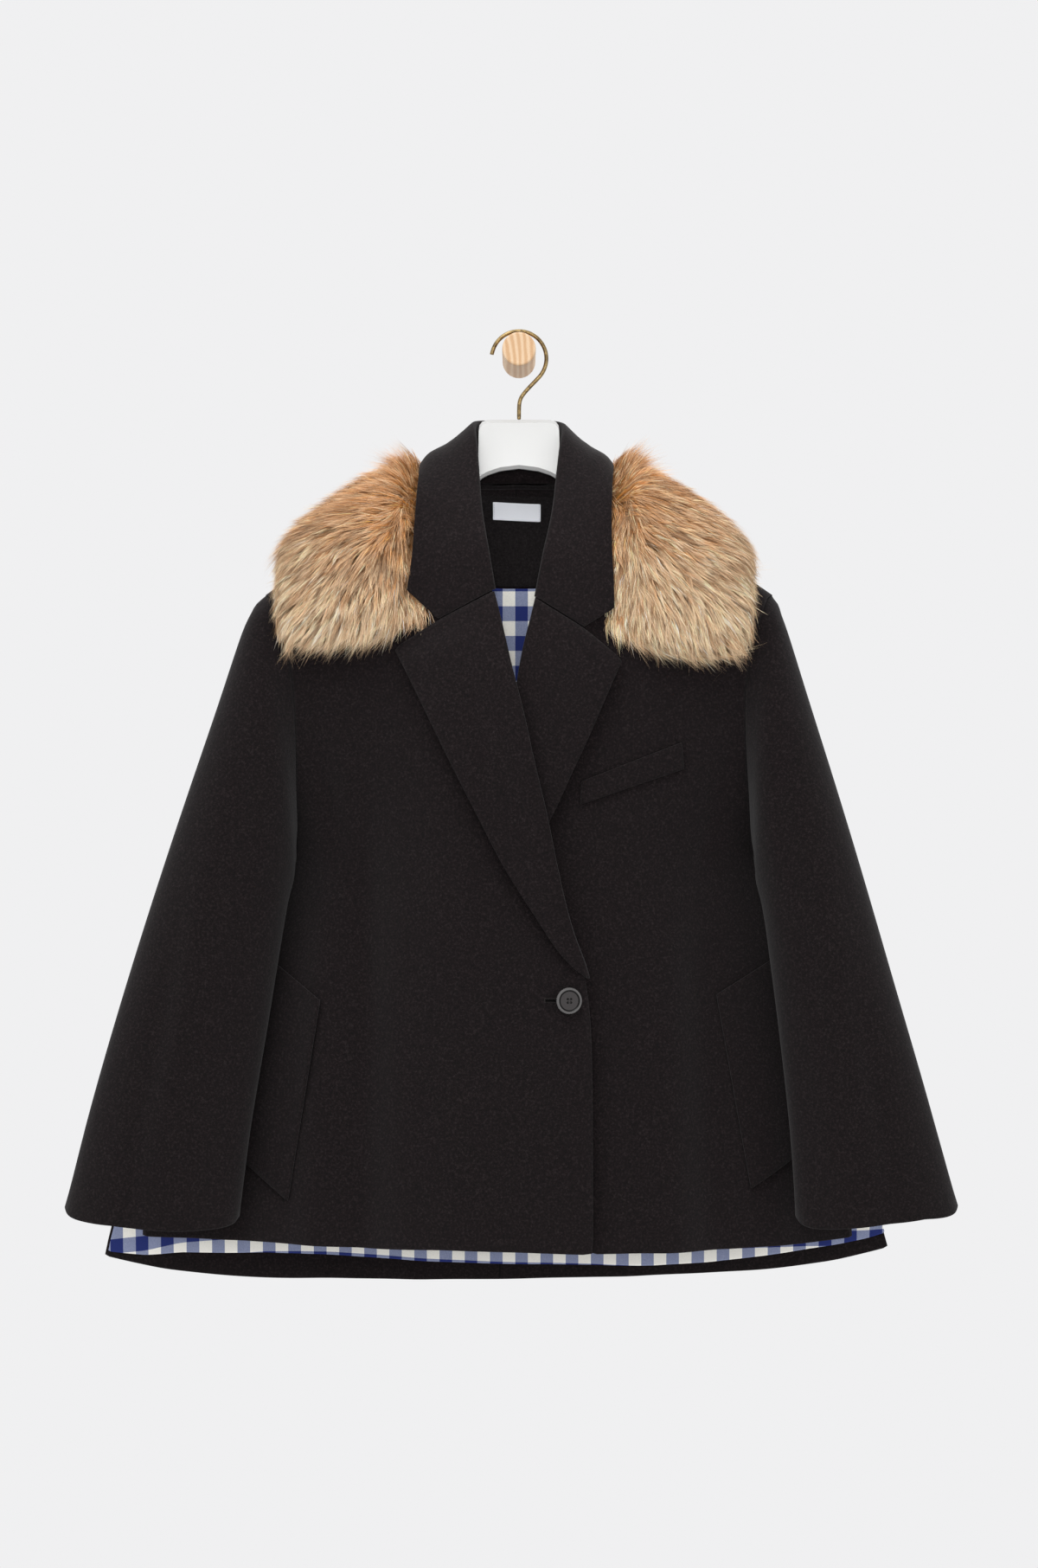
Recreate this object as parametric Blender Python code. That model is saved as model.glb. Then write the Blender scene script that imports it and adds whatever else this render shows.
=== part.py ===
# A short black wool coat with a fur collar, on a hanger that hangs from a wall peg.
# Metres, +Z up. The wall is the plane Y = 0, the coat hangs in front of it at negative Y,
# and the origin is the centre of the peg's back face. Left and right are the wearer's.

from math import acos, cos, pi, radians, sin, sqrt

import bmesh
import bpy
from mathutils import Matrix, Vector
from mathutils.bvhtree import BVHTree

# Cloth and clearances
WOOL = 0.0024            # coat cloth, finished
LAPEL = 0.0030           # lapel, cloth and facing together
WELT = 0.0020            # pocket welts
FACING = 0.0014
LINING = 0.0010
LABEL = 0.0010
SEAM = 0.0004            # gap between pieces that are sewn edge to edge
RIDGE_SEAM = 0.0011      # shoulder edges of front and back, each this far from the ridge
LAY = 0.0008             # gap under a piece that lies on another
WELT_LAY = 0.0014        # the same under the pocket welts, which cross the folds
BREAST_LAY = 0.0006      # the same under the breast welt
LAP = 0.0120             # how far the right front stands out over the left one
LAP_START = (-0.14, 0.10)    # x where it starts to stand out, and the width it takes
LAP_TOP = (-0.20, 0.09)      # height where it starts, and the height it takes

# Shoulder ridge, which the cloth rounds over
HANG = 0.092             # hanger plane in front of the wall
RIDGE_TOP = -0.0851      # ridge line carried to the neck's middle
SHOULDER_FALL = 0.59     # drop of the ridge for each metre outwards
NECK_ROUND = 0.030
SHOULDER_CROWN = 0.006   # how far the ridge bows up between neck and tip
NECK_X = 0.053
TIP_X = 0.2255
ROUND_DROP = 0.070       # height over which the cloth turns from the ridge to hanging
ROUND_ARC = 0.090        # cloth used by that turn

# Depth of the hanging cloth, from the hanger plane
FRONT_DEPTH = 0.044      # at the shoulders
FRONT_SWELL = 0.022      # more for each metre down
BACK_DEPTH = 0.050
SIDE_POWER = 2.5         # how squarely the panels turn back to the side seams

# Side seam depth: height, front edge, back edge
SIDE_DEPTHS = [
    (-0.815, 0.012, 0.040),
    (-0.780, 0.016, 0.036),
    (-0.700, 0.024, 0.0268),
    (-0.600, 0.023, 0.0258),
    (-0.510, 0.019, 0.0218),
    (-0.452, 0.010, 0.0128),
    (-0.405, -0.012, 0.026),
    (-0.360, -0.027, 0.035),
    (-0.300, -0.031, 0.036),
    (-0.215, -0.031, 0.036),
]

# Panel sections from hem to shoulder. Front columns: front edge x, z, side edge x, z
FRONT_RIGHT_ROWS = [
    (0.0646, -0.8000, -0.3370, -0.7832),
    (0.0646, -0.7400, -0.3362, -0.7360),
    (0.0645, -0.6800, -0.3290, -0.6850),
    (0.0640, -0.6200, -0.2990, -0.6200),
    (0.0610, -0.5613, -0.2670, -0.5600),
    (0.0441, -0.5103, -0.2260, -0.5080),
    (0.0365, -0.4830, -0.2050, -0.4760),
    (0.0319, -0.4577, -0.2000, -0.4520),
    (0.0235, -0.4140, -0.1972, -0.4050),
    (0.0127, -0.3700, -0.1966, -0.3650),
    (0.0030, -0.3240, -0.1975, -0.3250),
    (-0.0076, -0.2836, -0.2000, -0.2890),
    (-0.0205, -0.2280, -0.2060, -0.2580),
    (-0.0290, -0.1960, -0.2150, -0.2360),
]
FRONT_LEFT_ROWS = [
    (-0.0450, -0.7990, 0.2980, -0.7842),
    (-0.0450, -0.7400, 0.2965, -0.7360),
    (-0.0450, -0.6800, 0.2890, -0.6850),
    (-0.0450, -0.6200, 0.2720, -0.6200),
    (-0.0440, -0.5613, 0.2520, -0.5600),
    (-0.0400, -0.5103, 0.2280, -0.5080),
    (-0.0368, -0.4830, 0.2140, -0.4760),
    (-0.0335, -0.4577, 0.2100, -0.4520),
    (-0.0255, -0.4140, 0.2055, -0.4150),
    (-0.0165, -0.3700, 0.2015, -0.3750),
    (-0.0070, -0.3240, 0.1995, -0.3370),
    (0.0000, -0.2836, 0.1992, -0.2980),
    (0.0125, -0.2280, 0.2050, -0.2620),
    (0.0215, -0.1960, 0.2145, -0.2380),
]
# Back columns: side seen on the left, x, z, side seen on the right, x, z, sag of the middle
BACK_ROWS = [
    (-0.3740, -0.8115, 0.3330, -0.8037, 0.0260),
    (-0.3600, -0.7550, 0.3160, -0.7500, 0.0170),
    (-0.3380, -0.6950, 0.2950, -0.6930, 0.0080),
    (-0.2990, -0.6200, 0.2720, -0.6200, 0.0),
    (-0.2670, -0.5600, 0.2520, -0.5600, 0.0),
    (-0.2260, -0.5080, 0.2280, -0.5080, 0.0),
    (-0.2050, -0.4760, 0.2140, -0.4760, 0.0),
    (-0.2000, -0.4520, 0.2100, -0.4520, 0.0),
    (-0.2010, -0.4050, 0.2070, -0.4150, 0.0),
    (-0.2030, -0.3650, 0.2060, -0.3700, 0.0),
    (-0.2060, -0.3138, 0.2070, -0.3138, 0.0),
    (-0.2100, -0.2800, 0.2100, -0.2800, 0.0),
]
HEM_SQUARE = 4.0         # how squarely the back's hem turns up to the sides
RIDGE_SHARES = (0.24, 0.458, 0.68, 0.86, 0.95, 1.0)  # rows from the last section up to the ridge
BACK_NECK_ARC = 0.041    # cloth from the shoulder ridge's height down to the back neck

# Soft folds of the hanging fronts: x at the top, x at the hem, half width, depth, start height
FOLDS_RIGHT = [
    (-0.125, -0.132, 0.020, 0.0060, -0.300),
    (-0.160, -0.172, 0.024, -0.0050, -0.330),
    (-0.085, -0.088, 0.034, -0.0030, -0.420),
]
FOLDS_LEFT = [
    (0.165, 0.186, 0.022, 0.0050, -0.420),
    (0.130, 0.140, 0.030, -0.0035, -0.380),
]
FOLDS_BACK = [
    (-0.060, -0.150, 0.045, 0.0080, -0.360),
    (0.050, 0.130, 0.045, 0.0080, -0.380),
    (0.000, -0.010, 0.040, -0.0060, -0.400),
]
FOLD_GROWS = 0.30        # height over which a fold reaches its depth
FOLD_END = -0.80         # height of its foot
FOLD_REACH = 3.0         # half widths out to which it is felt

# Lapel sections from the break up to the gorge: roll line x, z, outer edge x, z
LAPEL_RIGHT_ROWS = [
    (0.0612, -0.5565, 0.0545, -0.5530),
    (0.0570, -0.5400, 0.0360, -0.5360),
    (0.0456, -0.5103, 0.0120, -0.4990),
    (0.0334, -0.4577, -0.0144, -0.4577),
    (0.0250, -0.4140, -0.0342, -0.4184),
    (0.0142, -0.3700, -0.0555, -0.3773),
    (0.0045, -0.3240, -0.0790, -0.3290),
    (-0.0061, -0.2836, -0.0985, -0.2890),
    (-0.0140, -0.2480, -0.1087, -0.2695),
]
LAPEL_LEFT_ROWS = [
    (-0.0395, -0.5250, -0.0330, -0.5215),
    (-0.0380, -0.5080, -0.0190, -0.5020),
    (-0.0325, -0.4577, 0.0050, -0.4570),
    (-0.0245, -0.4140, 0.0274, -0.4184),
    (-0.0150, -0.3700, 0.0450, -0.3800),
    (-0.0062, -0.3240, 0.0605, -0.3470),
    (0.0011, -0.2770, 0.0790, -0.3040),
    (0.0075, -0.2500, 0.0900, -0.2790),
]
# Gorge seam: inner end x, z, notch x, z, lapel point x, z, collar point x, z
GORGE_RIGHT = (-0.0215, -0.2170, -0.0710, -0.2428, -0.1065, -0.2656, -0.0988, -0.2162)
GORGE_LEFT = (0.0145, -0.2235, 0.0572, -0.2496, 0.0882, -0.2755, 0.0836, -0.2322)
LAPEL_ROLL = 0.0032      # extra height of a lapel along its roll line

# Collar sections from the gorge to the back: fold x, q, z, leaf edge x, q, z, stand foot x, q, z
COLLAR_RIGHT_ROWS = [
    (-0.0275, -0.0640, -0.1800, -0.0955, -0.0580, -0.2025, -0.0400, -0.0540, -0.1850),
    (-0.0330, -0.0530, -0.1486, -0.0925, -0.0550, -0.1714, -0.0440, -0.0440, -0.1480),
    (-0.0356, -0.0360, -0.1150, -0.0900, -0.0400, -0.1290, -0.0440, -0.0280, -0.1265),
    (-0.0390, -0.0180, -0.0800, -0.0868, -0.0120, -0.1060, -0.0490, -0.0080, -0.1160),
]
COLLAR_LEFT_ROWS = [
    (0.0215, -0.0640, -0.1850, 0.0835, -0.0580, -0.2120, 0.0350, -0.0540, -0.1890),
    (0.0300, -0.0530, -0.1486, 0.0810, -0.0550, -0.1714, 0.0410, -0.0440, -0.1480),
    (0.0334, -0.0360, -0.1150, 0.0820, -0.0400, -0.1290, 0.0440, -0.0280, -0.1265),
    (0.0386, -0.0180, -0.0800, 0.0825, -0.0120, -0.1070, 0.0490, -0.0080, -0.1160),
]
COLLAR_BACK_ROWS = [
    (-0.0420, 0.0040, -0.0640, -0.0830, 0.0260, -0.1030, -0.0470, 0.0105, -0.1160),
    (-0.0335, 0.0290, -0.0600, -0.0500, 0.0590, -0.1260, -0.0305, 0.0250, -0.1175),
    (0.0, 0.0375, -0.0590, 0.0, 0.0690, -0.1320, 0.0, 0.0300, -0.1160),
    (0.0335, 0.0290, -0.0600, 0.0500, 0.0590, -0.1260, 0.0305, 0.0250, -0.1175),
    (0.0420, 0.0040, -0.0670, 0.0790, 0.0260, -0.1055, 0.0470, 0.0105, -0.1160),
]
COLLAR_SECTIONS = 21
COLLAR_FOLD = 0.0022     # radius of the collar's fold, at the middle of the cloth
COLLAR_ROUND = 0.0020    # how far the leaf bows out between fold and edge
COLLAR_TURN = [radians(a) for a in (270, 225, 180, 135, 90)]
STAND_SHARES = (0.0, 0.35, 0.7)
LEAF_NOTCH = 0.62        # share of the front end's leaf that follows the gorge
LEAF_SHARES = (0.16, 0.34, 0.50, LEAF_NOTCH, 0.74, 0.87, 1.0)
GORGE_GAP = 0.0012       # from the lapel's top edge to the collar
NOTCH_LIFT = 0.0015      # how far the leaf stands off the lapel at the notch
POINT_LIFT = 0.0100      # the same at the collar point, which lies on the fur
END_FOLD = (0.0016, 0.0017)  # half width and half depth of the fold at the gorge
END_STAND = 0.0090       # width of the stand at the gorge

# Fur sections round the neck, seen on the left: inner x, arc, outer x, arc, pile height,
# pile height under the collar leaf, share of the width where it starts to rise from there
FUR_ROWS = [
    (-0.0840, -0.1270, -0.2000, -0.0950, 0.016, 0.004, 0.11),
    (-0.0850, -0.1100, -0.2090, -0.0780, 0.026, 0.005, 0.11),
    (-0.0800, -0.0820, -0.2100, -0.0480, 0.031, 0.006, 0.11),
    (-0.0770, -0.0450, -0.2090, -0.0140, 0.036, 0.010, 0.06),
    (-0.0730, -0.0060, -0.2070, 0.0200, 0.040, 0.012, 0.05),
    (-0.0600, 0.0310, -0.2000, 0.0620, 0.034, 0.014, 0.02),
    (-0.0460, 0.0430, -0.1700, 0.1220, 0.028, 0.011, 0.06),
    (-0.0240, 0.0520, -0.0900, 0.1750, 0.026, 0.010, 0.08),
]
FUR_MIDDLE = (0.0, 0.0540, 0.0, 0.1900, 0.026, 0.010, 0.08)
FUR_SECTIONS = 31
FUR_BULGE = 0.0140       # how far the front ends' lower edges bow down
FUR_LEFT_DROP = 0.0130   # how much lower the left end hangs at its inner corner
FUR_LEFT_IN = 0.0080     # how much narrower the left side is
FUR_END_ROWS = 7         # sections over which both fade out
FUR_STAND = 2.0          # how much the pile beside the collar leans up from square
FUR_CREST = 0.50         # how much higher it is there
FUR_STAND_WIDTH = 0.40   # share of the width over which both fade
FUR_OVER = 0.0070        # how far the outer edge stands over the sleeve head
FUR_LIFT = 0.60          # share of the width where it starts to stand up
FUR_LAY = 0.0022
FUR_EDGE = 0.0035        # pile height at its cut edge
FUR_RISE = 0.10          # share of the width that the rise takes
FUR_ROUND = 0.45         # share of the width where the pile starts to round off to the cut edge
FUR_SHARES = (0.0, 0.05, 0.11, 0.17, 0.24, 0.38, 0.58, 0.75, 0.89, 1.0)

# Sleeve sections from the armhole to the cuff:
# outer x, z, inner x, z, middle depth, half depth, cuff dip
SLEEVE_RIGHT_ROWS = [
    (-0.2395, -0.2320, -0.1990, -0.4630, -0.009, 0.038, 0.0),
    (-0.2475, -0.2550, -0.2005, -0.4740, -0.015, 0.038, 0.0),
    (-0.2656, -0.3150, -0.2050, -0.4890, -0.020, 0.037, 0.0),
    (-0.2928, -0.3950, -0.2085, -0.5110, -0.024, 0.036, 0.0),
    (-0.3225, -0.4860, -0.2145, -0.5500, -0.029, 0.035, 0.0),
    (-0.3468, -0.5650, -0.2225, -0.6040, -0.035, 0.033, 0.0),
    (-0.3700, -0.6450, -0.2330, -0.6650, -0.040, 0.031, 0.0),
    (-0.3850, -0.7010, -0.2402, -0.7130, -0.043, 0.030, 0.004),
    (-0.3990, -0.7600, -0.2468, -0.7570, -0.045, 0.030, 0.014),
]
SLEEVE_LEFT_ROWS = [
    (0.2335, -0.2325, 0.2106, -0.4630, -0.009, 0.038, 0.0),
    (0.2402, -0.2560, 0.2106, -0.4750, -0.015, 0.038, 0.0),
    (0.2572, -0.3150, 0.2155, -0.4900, -0.020, 0.037, 0.0),
    (0.2822, -0.3950, 0.2190, -0.5130, -0.024, 0.036, 0.0),
    (0.3090, -0.4860, 0.2235, -0.5500, -0.029, 0.035, 0.0),
    (0.3312, -0.5650, 0.2300, -0.6040, -0.035, 0.033, 0.0),
    (0.3545, -0.6450, 0.2365, -0.6650, -0.040, 0.031, 0.0),
    (0.3700, -0.7010, 0.2410, -0.7130, -0.043, 0.030, 0.004),
    (0.3855, -0.7590, 0.2440, -0.7570, -0.045, 0.030, 0.014),
]
SLEEVE_SIDES = 24
SLEEVE_SEAM = 0.0014     # gap from the armhole edge to the sleeve head
UNDERARM_SEAM = 0.0028   # the same under the arm, where the two walls turn away from each other
CAP_SHARES = (0.60, 0.30, 0.10)  # how much of the armhole's shape the first rings keep
SEAM_WIDENS = (0.25, 0.5)  # share of the armhole where its seam starts to widen, and the share it takes
CUFF_ROUND = 0.7         # how squarely the cuff dips
UNDERARM_ROW = 7         # panel section at the underarm

# Welts: corner x, z in order round the piece, from the top corner nearest the front edge
POCKET_RIGHT = [(-0.1752, -0.5772), (-0.2037, -0.7543), (-0.2500, -0.7160), (-0.2240, -0.5400)]
POCKET_LEFT = [(0.1748, -0.5727), (0.2052, -0.7444), (0.2500, -0.7150), (0.2270, -0.5420)]
BREAST_WELT = [(0.0547, -0.3842), (0.0540, -0.4047), (0.1455, -0.3732), (0.1436, -0.3497)]

# Facing, lining and label inside the back
FACING_ROW = 13          # back section at the facing's foot, where the lining starts
FACING_COLUMNS = (10, 15)
FACING_GAP = 0.03        # share of a section left open between facing and lining
LINING_INSET = 0.4       # share of the outer strip that the lining leaves bare at the sides
LINING_HEM = 0.24        # share of the hem section that the lining leaves bare
LABEL_SIZE = (0.0430, 0.0155)
LABEL_PLACE = (-0.0020, -0.1415)
LABEL_TILT = 0.045       # fall from one end to the other, for each metre across

# Button
BUTTON_PLACE = (0.0433, -0.5757)
BUTTON_RADIUS = 0.0115
BUTTON_THICK = 0.0034
BUTTON_RIM = 0.0018      # width of the raised rim
BUTTON_DISH = 0.0008
BUTTON_HOLE = 0.0011     # radius
BUTTON_HOLE_PITCH = 0.0026
BUTTON_TURN = radians(16)
BUTTON_SEAT = 0.0034     # from the middle of the cloth to the middle of the button's back
BUTTON_STEP = 0.0010     # width of the slope from dish to rim
BUTTON_EDGE = (0.0006, 0.0008)   # rounding of the rim, across and down
BUTTON_BACK = (0.0022, 0.0012)   # rounding of the back, across and up
BUTTON_SIDES = 28

# Hanger, hook and peg
PLATE_TOP = -0.0621
# Hanger sections from the middle of its plate to the foot of an arm: x, top, underside
HANGER_ROWS = [
    (0.0000, PLATE_TOP, -0.1056),
    (0.0170, PLATE_TOP, -0.1078),
    (0.0278, PLATE_TOP, -0.1114),
    (0.0330, -0.0641, -0.1143),
    (0.0352, -0.0672, -0.1165),
    (0.0358, -0.0701, -0.1178),
    (0.0364, -0.1060, -0.1190),
    (0.0405, -0.1140, -0.1255),
    (0.0460, -0.1208, -0.1350),
    (0.0520, -0.1236, -0.1420),
]
ARM_SPAN = (0.060, 0.198)    # x where an arm starts and ends
ARM_SECTIONS = 8
ARM_HEIGHT = 0.022
ARM_NOSE = (0.006, 0.30)  # how far the arm's end stands out, and the share taken off its top and foot
CREST_GAP = 0.0008       # from the arms' crest to the cloth on it
HANGER_THICK = 0.012
HANGER_EDGE = 0.0030
HANGER_EDGE_SHARE = 0.3  # of a section's height, at most
WIRE = 0.0020            # radius
HOOK_RADIUS = 0.0246     # at the wire's middle
HOOK_OPEN = radians(172)
HOOK_LEAVE = radians(-45)
# Hook tail: x as a share of the bend's end, height as shares of that x below it
HOOK_TAIL = [(0.55, 0.45), (0.20, 0.84), (0.04, 1.12), (0.0, 1.45)]
PEG_RADIUS = 0.0150
PEG_FRONT = 0.013        # how far the peg reaches past the hanger plane
PEG_EDGE = 0.0015
REST = 0.0003            # gap where the hook rests on the peg

# Colours: red, green, blue, roughness, metallic
FINISHES = {
    "black_wool": (0.014, 0.012, 0.012, 0.95, 0.0),
    "gingham": (0.30, 0.32, 0.48, 0.85, 0.0),
    "tan_fur": (0.56, 0.35, 0.18, 0.90, 0.0),
    "label_white": (0.76, 0.79, 0.87, 0.80, 0.0),
    "button_horn": (0.045, 0.042, 0.042, 0.35, 0.0),
    "hanger_white": (0.90, 0.90, 0.89, 0.40, 0.0),
    "brass": (0.42, 0.30, 0.13, 0.35, 1.0),
    "pine": (0.79, 0.52, 0.28, 0.60, 0.0),
}


def clear_scene():
    for old in list(bpy.data.objects):
        bpy.data.objects.remove(old, do_unlink=True)


def finish(name):
    red, green, blue, roughness, metallic = FINISHES[name]
    material = bpy.data.materials.get(name)
    if material is None:
        material = bpy.data.materials.new(name)
        material.use_nodes = True
        shader = material.node_tree.nodes["Principled BSDF"]
        shader.inputs["Base Color"].default_value = (red, green, blue, 1.0)
        shader.inputs["Roughness"].default_value = roughness
        shader.inputs["Metallic"].default_value = metallic
        material.diffuse_color = (red, green, blue, 1.0)
    return material


def add_object(name, data, material, parent):
    made = bpy.data.objects.new(name, data)
    bpy.context.scene.collection.objects.link(made)
    data.materials.append(finish(material))
    made.parent = parent
    return made


def mesh_of(name, points, faces):
    shape = bmesh.new()
    corners = [shape.verts.new(point) for point in points]
    for face in faces:
        shape.faces.new([corners[i] for i in face])
    bmesh.ops.recalc_face_normals(shape, faces=shape.faces)
    mesh = bpy.data.meshes.new(name)
    shape.to_mesh(mesh)
    shape.free()
    mesh.shade_smooth()
    mesh.set_sharp_from_angle(angle=radians(50))
    return mesh


def grid_faces(rows, columns, closed=False):
    faces = []
    for r in range(rows - 1):
        for c in range(columns if closed else columns - 1):
            after = (c + 1) % columns
            low, high = r * columns, (r + 1) * columns
            faces.append((low + c, low + after, high + after, high + c))
    return faces


def cloth(name, rows, wall, material, parent, closed=False):
    """A solid of even wall from the grid of points at its middle. A closed grid is a tube."""
    points = [point for row in rows for point in row]
    mesh = mesh_of(name, points, grid_faces(len(rows), len(rows[0]), closed))
    made = add_object(name, mesh, material, parent)
    solid = made.modifiers.new("wall", "SOLIDIFY")
    solid.thickness = wall
    solid.offset = 0.0
    solid.use_even_offset = not closed
    solid.use_quality_normals = True
    return made


def lerp(a, b, t):
    return a + (b - a) * t


def ease(t):
    t = min(max(t, 0.0), 1.0)
    return t * t * (3.0 - 2.0 * t)


def curve_at(values, t):
    """Smooth curve through values, t counting from the first one."""
    last = len(values) - 1
    i = min(int(t), last - 1)
    t -= i
    before, start = values[max(i - 1, 0)], values[i]
    end, after = values[i + 1], values[min(i + 2, last)]
    lead, trail = (end - before) / 2.0, (after - start) / 2.0
    return (
        start * (2 * t**3 - 3 * t**2 + 1)
        + lead * (t**3 - 2 * t**2 + t)
        + end * (3 * t**2 - 2 * t**3)
        + trail * (t**3 - t**2)
    )


def resample(values, count):
    step = (len(values) - 1) / (count - 1)
    return [curve_at(values, i * step) for i in range(count)]


def interpolate(table, key, column):
    """Straight interpolation in a table whose first column rises."""
    if key <= table[0][0]:
        return table[0][column]
    for low, high in zip(table, table[1:]):
        if key <= high[0]:
            return lerp(low[column], high[column], (key - low[0]) / (high[0] - low[0]))
    return table[-1][column]


# The coat's surface: x across, arc along the cloth from the ridge, negative on the front


def ridge_height(x):
    run = sqrt(x * x + NECK_ROUND * NECK_ROUND)
    share = min(max((abs(x) - NECK_X) / (TIP_X - NECK_X), 0.0), 1.0)
    return RIDGE_TOP - SHOULDER_FALL * run + SHOULDER_CROWN * sin(pi * share)


def arc_of(x, z):
    drop = max(ridge_height(x) - z, 0.0)
    if drop < ROUND_DROP:
        return acos(1.0 - drop / ROUND_DROP) * ROUND_ARC / (pi / 2)
    return ROUND_ARC + drop - ROUND_DROP


def drop_and_turn(arc):
    arc = abs(arc)
    if arc < ROUND_ARC:
        angle = arc / ROUND_ARC * pi / 2
        return ROUND_DROP * (1.0 - cos(angle)), sin(angle)
    return ROUND_DROP + arc - ROUND_ARC, 1.0


def half_width(x, z, back):
    rows = BACK_ROWS if back else (FRONT_RIGHT_ROWS if x < 0 else FRONT_LEFT_ROWS)
    first = 0 if back and x < 0 else 2
    table = [(row[first + 1], abs(row[first])) for row in rows]
    return interpolate(table, z, 1)


def fold_depth(folds, x, z):
    depth = 0.0
    for top_x, hem_x, half, deep, start in folds:
        share = ease((start - z) / FOLD_GROWS)
        middle = lerp(top_x, hem_x, (start - z) / (start - FOLD_END))
        away = (x - middle) / half
        if abs(away) < FOLD_REACH:
            depth += deep * share / (1.0 + away**4)
    return depth


def front_point(x, arc, right):
    drop, turn = drop_and_turn(arc)
    z = ridge_height(x) - drop
    share = min(abs(x) / half_width(x, z, False), 1.0) ** SIDE_POWER
    middle = -(FRONT_DEPTH + FRONT_SWELL * drop)
    side = interpolate(SIDE_DEPTHS, z, 1)
    q = lerp(middle, side, share) * turn
    q += fold_depth(FOLDS_RIGHT if right else FOLDS_LEFT, x, z)
    if right:
        start, wide = LAP_START
        top, tall = LAP_TOP
        q -= LAP * ease((x - start) / wide) * ease((top - z) / tall)
    return Vector((x, q, z))


def back_point(x, arc):
    drop, turn = drop_and_turn(arc)
    z = ridge_height(x) - drop
    share = min(abs(x) / half_width(x, z, True), 1.0) ** SIDE_POWER
    q = lerp(BACK_DEPTH, interpolate(SIDE_DEPTHS, z, 2), share) * turn
    return Vector((x, q + fold_depth(FOLDS_BACK, x, z), z))


def coat_point(x, arc):
    return back_point(x, arc) if arc > 0 else front_point(x, arc, x < 0)


def coat_normal(x, arc):
    step = 0.002
    across = coat_point(x + step, arc) - coat_point(x - step, arc)
    along = coat_point(x, arc + step) - coat_point(x, arc - step)
    return across.cross(along).normalized()


def lay_front(x, z, right, lift):
    """A point of the front, moved out by lift."""
    point = front_point(x, -arc_of(x, z), right)
    return Vector((point.x, point.y - lift, point.z))


# Panels


def span(start, end, shares):
    return [tuple(lerp(a, b, t) for a, b in zip(start, end)) for t in shares]


def turned_shares(count):
    """Even steps, closer together towards the end, where a panel turns."""
    return [sin(pi / 2 * i / (count - 1)) * 0.45 + 0.55 * i / (count - 1) for i in range(count)]


def ridge_rows(last, ridge):
    """Flat points of the rows that lead from the last section up to the ridge."""
    rows = []
    for up in RIDGE_SHARES:
        rows.append([(lerp(x, rx, up), lerp(arc, ra, up)) for (x, arc), (rx, ra) in zip(last, ridge)])
    return rows


def front_rows(rows, right, columns=15):
    side = -1 if right else 1
    shares = turned_shares(columns)
    flat = []
    for x, z, side_x, side_z in rows:
        flat.append([(px, arc_of(px, pz)) for px, pz in span((x, z), (side_x, side_z), shares)])
    ridge = span((side * NECK_X, RIDGE_SEAM), (side * TIP_X, RIDGE_SEAM), shares)
    flat += ridge_rows(flat[-1], ridge)
    return [[front_point(x, -arc, right) for x, arc in row] for row in flat]


def back_rows(columns=25):
    half = turned_shares(columns // 2 + 1)
    shares = [0.5 - t / 2 for t in reversed(half)] + [0.5 + t / 2 for t in half[1:]]
    flat = []
    for x, z, far_x, far_z, sag in BACK_ROWS:
        line = span((x, z), (far_x, far_z), shares)
        sags = [sag * (1 - abs(2 * t - 1) ** HEM_SQUARE) for t in shares]
        flat.append([(px, arc_of(px, pz - down)) for (px, pz), down in zip(line, sags)])
    ridge = []
    for t in shares:
        x = lerp(-TIP_X, TIP_X, t)
        neck = BACK_NECK_ARC * sqrt(max(1.0 - (x / NECK_X) ** 2, 0.0))
        ridge.append((x, neck + RIDGE_SEAM))
    flat += ridge_rows(flat[-1], ridge)
    return [[back_point(x, arc) for x, arc in row] for row in flat]


def make_body(parent):
    right = front_rows(FRONT_RIGHT_ROWS, True)
    left = front_rows(FRONT_LEFT_ROWS, False)
    back = back_rows()
    cloth("front_right", right, WOOL, "black_wool", parent)
    cloth("front_left", left, WOOL, "black_wool", parent)
    cloth("back", back, WOOL, "black_wool", parent)
    return right, left, back


# Lapels and collar


def lapel_rows(rows, gorge, right, columns=9):
    shares = [i / (columns - 1) for i in range(columns)]
    inner_x, inner_z, notch_x, notch_z, point_x, point_z = gorge[:6]
    sections = resample([Vector(row) for row in rows], 15)
    flat = [span(tuple(s)[:2], tuple(s)[2:], shares) for s in sections]
    notch = (notch_x - inner_x) / (point_x - inner_x)
    top = []
    for t in shares:
        if t < notch:
            top.append(span((inner_x, inner_z), (notch_x, notch_z), [t / notch])[0])
        else:
            top.append(span((notch_x, notch_z), (point_x, point_z), [(t - notch) / (1 - notch)])[0])
    flat.append(top)
    lift = WOOL / 2 + LAY + LAPEL / 2
    return [
        [lay_front(x, z, right, lift + LAPEL_ROLL * (1 - t) ** 3) for (x, z), t in zip(row, shares)]
        for row in flat
    ]


def collar_section(fold, edge, foot, along):
    """Points of one section of the collar, from the stand's foot over the fold to the leaf's edge."""
    out = (edge - fold).normalized()
    up = along.cross(out).normalized()
    middle = fold + out * COLLAR_FOLD - up * COLLAR_FOLD
    bend = [middle + COLLAR_FOLD * (out * cos(a) + up * sin(a)) for a in COLLAR_TURN]
    stand = [lerp(foot, bend[0], t) for t in STAND_SHARES]
    leaf = []
    for t in LEAF_SHARES:
        bow = COLLAR_ROUND * sin(pi * t)
        leaf.append(lerp(bend[-1], edge, t) + up * bow)
    return stand + bend + leaf


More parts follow.
